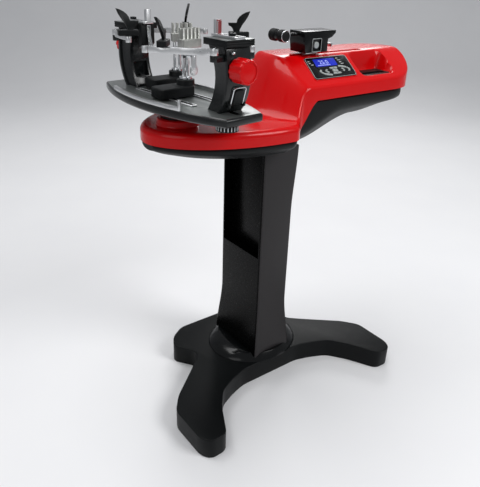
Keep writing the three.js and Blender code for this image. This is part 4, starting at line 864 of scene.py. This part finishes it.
def column():
    """The folded column with the recess in its front, warm grey at its sides, and black lacquer darkened by
    painted shade on its front and in its recess.
    """
    shell = solid("column_shell_painted", *loft([column_ring(z) for z in np.linspace(*COLUMN_LEVELS, 60)]))
    front = COLUMN_X - COLUMN_HALF
    recess = rectangle(front - CUT_OVERRUN, front + RECESS_DEPTH, -RECESS_WIDE, RECESS_WIDE)
    shape = slab(rounded(recess, 1.5, 1), RECESS_FOOT, COLUMN_LEVELS[1] + CUT_OVERRUN)
    cut(shell, solid("recess_tool", *shape))
    finished(shell, "stand", "column_satin_paint", "column_grey", "column_shell")
    # Faces turned away from the lamps, and the recess's faces, take the near-black lacquer as painted shade.
    repaint(shell, "black_column_lacquer", lambda middle, normal: normal.x < -0.6
            or (middle.x < front + RECESS_DEPTH - 1 and abs(middle.y) < COLUMN_WIDE - 5
                and middle.z > RECESS_FOOT - 4))
    # The panel in the recess takes the same near-black painted shade.
    refined("column_panel", 0.8, "black_column_lacquer", "black_gloss")


# Mains side: inlet with its three pins, and the rocker

INLET_X, INLET_Z = 330, 858
PIN_PLACES, PIN_ENDS_Y = ((-8, -3), (8, -3), (0, 4)), (95.2, 109)
PIN_HALF_WIDTH, PIN_HALF_HEIGHT = 1.5, 3


def mains():
    """The inlet with the pins in its mouth, and the switch."""
    refined("mains_inlet", 0.8, "black_satin_abs", "black_satin")
    refined("mains_switch", 0.8, "black_gloss_abs", "black_satin")
    pins = []
    for across, up in PIN_PLACES:
        x, z = INLET_X + across, INLET_Z + up
        outline = rectangle(x - PIN_HALF_WIDTH, x + PIN_HALF_WIDTH, *PIN_ENDS_Y)
        pins.append(slab(outline, z - PIN_HALF_HEIGHT, z + PIN_HALF_HEIGHT))
    finished(solid("inlet_pins", *together(pins)), "stand", "polished_steel", "black_satin")


# Puller: carriage, head, spool, button and lever

SPOOL_RADIUS, SPOOL_HALF = 16, 31
RIB_DEPTH, RIB_PITCH, RIBS_FROM = 0.5, 1.3, 11
POCKET_HALF, POCKET_CORNER, HEAD_SIDE_Y = 17, 3, -31.2


def puller():
    """The string puller with the drum and the frame that only the scene has in full."""
    refined("pull_carriage", 0.6, "brushed_aluminium", "alloy")
    refined("pull_head", 1.4, "black_gloss_abs", "table_black", 3)
    refined("grip_button", 1.2, "silver_key_paint", "key_silver", 3)
    refined("grip_lever", 0.5, "brushed_aluminium", "alloy")
    spool()
    pocket_frame()


def spool():
    """The gripper drum: two ribbed rollers, a waist between them for the strap ring, a bright band."""
    side = [(8.8, 5.4), (12.5, 5.8), (15, 7.5), (SPOOL_RADIUS, 10)]
    side += [(SPOOL_RADIUS - RIB_DEPTH * (step % 2), RIBS_FROM + step * RIB_PITCH) for step in range(11)]
    side += [(15.6, 26.5), (14, 29), (11, 30.6), (5, SPOOL_HALF)]
    profile = [(radius, -height) for radius, height in reversed(side)] + side
    place = MACHINE @ Matrix.Translation(middle_of("grip_spool")) @ Matrix.Rotation(math.pi / 2, 4, "X")
    drum = solid("gripper_drum", *turned(profile, 48), place)
    finished(drum, "grip_spool", "black_satin_abs", "black_satin", "grip_spool")
    band_radius, band_height = 14.4, 28.6
    path = [(band_radius * math.cos(t), band_radius * math.sin(t), band_height) for t in turns_round(48)]
    band = solid("drum_band", *tube(path, 1.2, 10, True), place)
    finished(band, "grip_spool", "polished_steel", "alloy")


def pocket_frame():
    """A thin bright frame round the button's pocket in the head's near side."""
    middle = middle_of("grip_button")
    outline = rounded(rectangle(-POCKET_HALF, POCKET_HALF, -POCKET_HALF, POCKET_HALF), POCKET_CORNER, 4)
    path = [(middle.x + p.x, HEAD_SIDE_Y, middle.z + p.y) for p in outline]
    rim = solid("pocket_frame", *tube(path, 0.8, 8, True))
    finished(rim, "puller", "silver_key_paint", "key_silver")


# Turntable: plate with bright guide lips, rails and bearing

def turntable():
    """The plate, black with a grey painted highlight on its upper faces and bright lips, on its round seat.
    """
    top = refined("turntable_plate", 0.9, "black_enamel", "table_black")
    # The plate's upward faces take a grey painted highlight, lighter than the black enamel of its sides.
    repaint(top, "grey_anodised", lambda middle, normal: normal.z > 0.9 and middle.z > PLATE_TOP - 1, TABLE)
    repaint(top, "brushed_aluminium", lambda middle, normal: middle.z > PLATE_TOP + 0.6, TABLE)
    low, high = bearing_low.z / MM, bearing_high.z / MM
    profile = [
        (10, low), (55.5, low), (54.6, low + 0.8), (53.4, low + 2.4), (53, low + 5), (53, high - 4),
        (52.4, high - 2), (51, high - 0.6), (49, high), (10, high),
    ]
    seat = solid("turntable_seat", *turned(profile, 120), TABLE)
    finished(seat, "stand", "red_gloss_abs", "red_gloss", "turntable_bearing")
    for side in ("left", "right"):
        refined("side_rail_" + side, 0.8, "brushed_aluminium", "alloy")


# Towers with their knobs, locks, levers, arms and supports

WHEEL_Y, WHEEL_LEVELS = 192, (867.7, 886.7)
WHEEL_RADIUS, WHEEL_RIBS = 27, 20
HUB_X, HUB_Y = 50, 206
STOP_PIN = (20, 226, TOWER_TOP - 12)
KNOB_FOOT = (8, 230.9, TOWER_TOP - 46)
KNOB_RADIUS, KNOB_LENGTH, KNOB_LOBES, LOBE_SHARE = 27, 38, 12, 0.028
BAIL_FOOT, BAIL_LEAN = (0, 221.6, PLATE_TOP + 19), math.radians(17)
BAIL_HALF, BAIL_HEIGHT, BAIL_WIRE, BAIL_BEND = 19, 42, 1.5, 7


def towers():
    """Both towers, with the throat block that only the far one has."""
    for end, place in TOWERS.items():
        refined("tower_" + end, 1.0, "black_enamel", "table_black")
        head = refined("tower_head_" + end, 0.8, "black_satin_abs", "table_black")
        # The head's upward faces take a grey painted highlight.
        repaint(head, "grey_anodised", lambda middle, normal: normal.z > 0.9)
        slider = refined("frame_slider_" + end, 0.8, "brushed_aluminium", "alloy")
        repaint(slider, "red_rubber", lambda middle, normal: middle.z > TOWER_TOP + 22 and normal.y > 0.5,
                place)
        refined("slider_screw_" + end, 0.4, "black_oxide_steel", "black_satin")
        refined("slide_lock_" + end, 0.6, "black_satin_abs", "black_satin")
        spread_knob(end, place)
        lock_lever(end, place)
        for name in (end + "_a", end + "_b"):
            refined("arm_" + name, 0.8, "brushed_aluminium", "alloy")
            refined("arm_support_" + name, 0.7, "black_satin_abs", "black_satin")
        wheel_ribs(end, place)
        tower_pins(end, place)
    refined("throat_block", 1.0, "black_satin_abs", "black_satin")
    refined("throat_lever", 0.8, "polished_steel", "alloy")


def wheel_ribs(end, place):
    """Bright half-round ribs round the lock's wheel, one on each of its ridges."""
    low, high = WHEEL_LEVELS
    half = (high - low) / 2 - 1.6
    rib = turned([
        (0.3, -half), (0.8, -half + 0.4), (1.15, -half + 1.4),
        (1.15, half - 1.4), (0.8, half - 0.4), (0.3, half),
    ], 10)
    reach = WHEEL_RADIUS - 1.2
    spots = [(place, (reach * math.cos(t), WHEEL_Y + reach * math.sin(t), (low + high) / 2), (0, 0, 1))
             for t in turns_round(WHEEL_RIBS)]
    repeated("wheel_ribs_" + end, rib, spots, "polished_steel", "slide_lock_" + end, "alloy")


def tower_pins(end, place):
    """Button screws on the arms' hubs, and the bright stop pin above the knob."""
    button = turned([(0.2, 0.5), (2, 0.5), (2, 1.2), (2.3, 1.4), (4, 1.3), (4.9, 0.8), (5, 0), (1, 0)], 24)
    spots = [(place, (side * HUB_X, HUB_Y, ARM_TOP - 0.1), (0, 0, 1)) for side in (-1, 1)]
    repeated("hub_screws_" + end, button, spots, "polished_steel", "tower_" + end, "alloy", math.pi)
    pin = turned([(0.4, 9), (2.2, 8.6), (3.4, 7.2), (3.8, 5), (3.8, 3), (2.6, 2.4), (2.6, -4), (0.4, -4)], 28)
    spots = [(place, STOP_PIN, (0, 1, 0.12))]
    repeated("stop_pin_" + end, pin, spots, "polished_steel", "tower_" + end, "alloy")


def spread_knob(end, tower):
    """A moulded knob with lobes round its rim and a domed button in its face."""
    r, face = KNOB_RADIUS, KNOB_LENGTH
    rim = [
        (6.4, 0), (r * 0.86, 0), (r * 0.94, 0.8), (r * 0.985, 2.4), (r, 5), (r, face - 5),
        (r * 0.985, face - 2.4), (r * 0.93, face - 0.7), (r * 0.86, face), (r * 0.82, face - 0.2),
    ]
    button = [(r * 0.79, face - 1.8), (r * 0.74, face - 2), (r * 0.5, face - 0.9), (r * 0.25, face - 0.3),
              (1, face - 0.1)]
    plain_levels = [0] + [len(rim) + level for level in range(len(button))]
    shape = turned(rim + button, 144, KNOB_LOBES, LOBE_SHARE, plain_levels)
    place = tower @ Matrix.Translation(KNOB_FOOT) @ Matrix.Rotation(-math.pi / 2, 4, "X")
    knob = solid("spread_knob_moulded_" + end, *shape, place)
    finished(knob, "spread_knob_" + end, "red_gloss_abs", "red_gloss", "spread_knob_" + end)


def lock_lever(end, tower):
    """A bent wire bail, open at its foot, with a moulded flap inside it."""
    place = tower @ Matrix.Translation(BAIL_FOOT) @ Matrix.Rotation(-BAIL_LEAN, 4, "X")
    half, top = BAIL_HALF - BAIL_WIRE, BAIL_HEIGHT - BAIL_WIRE
    bends = [(BAIL_BEND * math.sin(t), BAIL_BEND * (1 - math.cos(t))) for t in np.linspace(0, math.pi / 2, 7)]
    left = [(-half, 1.6)] + [(-half + b, top - BAIL_BEND + a) for a, b in bends]
    path = [(x, 0, z) for x, z in left + [(-x, z) for x, z in reversed(left)]]
    bail = solid("lock_bail_" + end, *tube(path, BAIL_WIRE, 12), place)
    finished(bail, "lock_lever_" + end, "polished_steel", "black_satin", "lock_lever_" + end)
    edge, flap_half = half - 4, 2.6
    outline = rounded(rectangle(-edge, edge, 2.2, BAIL_HEIGHT - 7), 5, 5)
    upright = place @ Matrix.Rotation(math.pi / 2, 4, "X")
    flap = solid("lock_flap_" + end, *slab(outline, -flap_half, flap_half, 1), upright)
    finished(flap, "lock_lever_" + end, "black_satin_abs", "black_satin")


# String clamps

def clamps():
    """Both string clamps, each a weighted base, a bright post, a gritty head and a lever."""
    for side in ("left", "right"):
        refined("clamp_base_" + side, 2.2, "black_satin_abs", "black_satin", 3)
        refined("clamp_post_" + side, 0.5, "polished_steel", "alloy")
        refined("clamp_head_" + side, 0.6, "gritty_clamp_metal", "alloy")
        refined("clamp_lever_" + side, 0.8, "brushed_aluminium", "alloy")


# Studio: floor, lamps and world, in metres and watts

FLOOR_HALF, FLOOR_FRONT, FLOOR_BEND, BEND_RADIUS, BACKDROP_TOP = 14, -9, 3.5, 3, 9
LAMPS = [
    ("key_lamp", (1.4, -3.0, 3.4), 2.0, 100), ("fill_lamp", (-3.4, -1.2, 2.4), 2.4, 18),
    ("top_lamp", (-0.6, 0.9, 4.0), 2.6, 80), ("rear_lamp", (2.6, 2.4, 2.6), 1.6, 36),
]
LAMP_TARGET = Vector((0, 0, 0.7))


def studio():
    """A pale floor that curves up behind the machine, large soft lamps and a pale world."""
    surface("studio_paper", "#e9e9ea", "#e3e3e5", cloud_mm=400, grain_mm=3, relief_mm=0.01, rough=(0.7, 0.8))
    bend = [(FLOOR_BEND + BEND_RADIUS * math.sin(t), BEND_RADIUS * (1 - math.cos(t)))
            for t in np.linspace(0.1, math.pi / 2, 14)]
    rows = [(FLOOR_FRONT, 0), (FLOOR_BEND, 0), *bend, (FLOOR_BEND + BEND_RADIUS, BACKDROP_TOP)]
    points = [(across, forward, height) for forward, height in rows for across in (-FLOOR_HALF, FLOOR_HALF)]
    faces = [(2 * row, 2 * row + 1, 2 * row + 3, 2 * row + 2) for row in range(len(rows) - 1)]
    away = Matrix.Rotation(-math.atan2(VIEW.x, VIEW.y), 4, "Z")
    paper = solid("studio_paper", points, faces, away)
    paper.data.materials.append(MATERIALS["studio_paper"])
    smoothed(paper.data, 60)
    for name, place, size, watts in LAMPS:
        data = bpy.data.lights.new(name, "AREA")
        data.shape = "DISK"
        data.size = size
        data.energy = watts
        lamp = bpy.data.objects.new(name, data)
        lamp.location = place
        lamp.rotation_euler = (LAMP_TARGET - Vector(place)).to_track_quat("-Z", "Y").to_euler()
        bpy.context.scene.collection.objects.link(lamp)
    world = bpy.data.worlds.new("studio_world")
    bpy.context.scene.world = world
    world.use_nodes = True
    background = world.node_tree.nodes["Background"]
    background.inputs["Color"].default_value = linear("#dfe2e6")
    background.inputs["Strength"].default_value = 0.4
    bpy.context.scene.view_settings.view_transform = "Standard"


make_camera()
make_materials()
COPIER = copier()
studio()
top_cover()
tray_mat()
lower_housing()
console()
foot()
column()
mains()
puller()
turntable()
towers()
clamps()
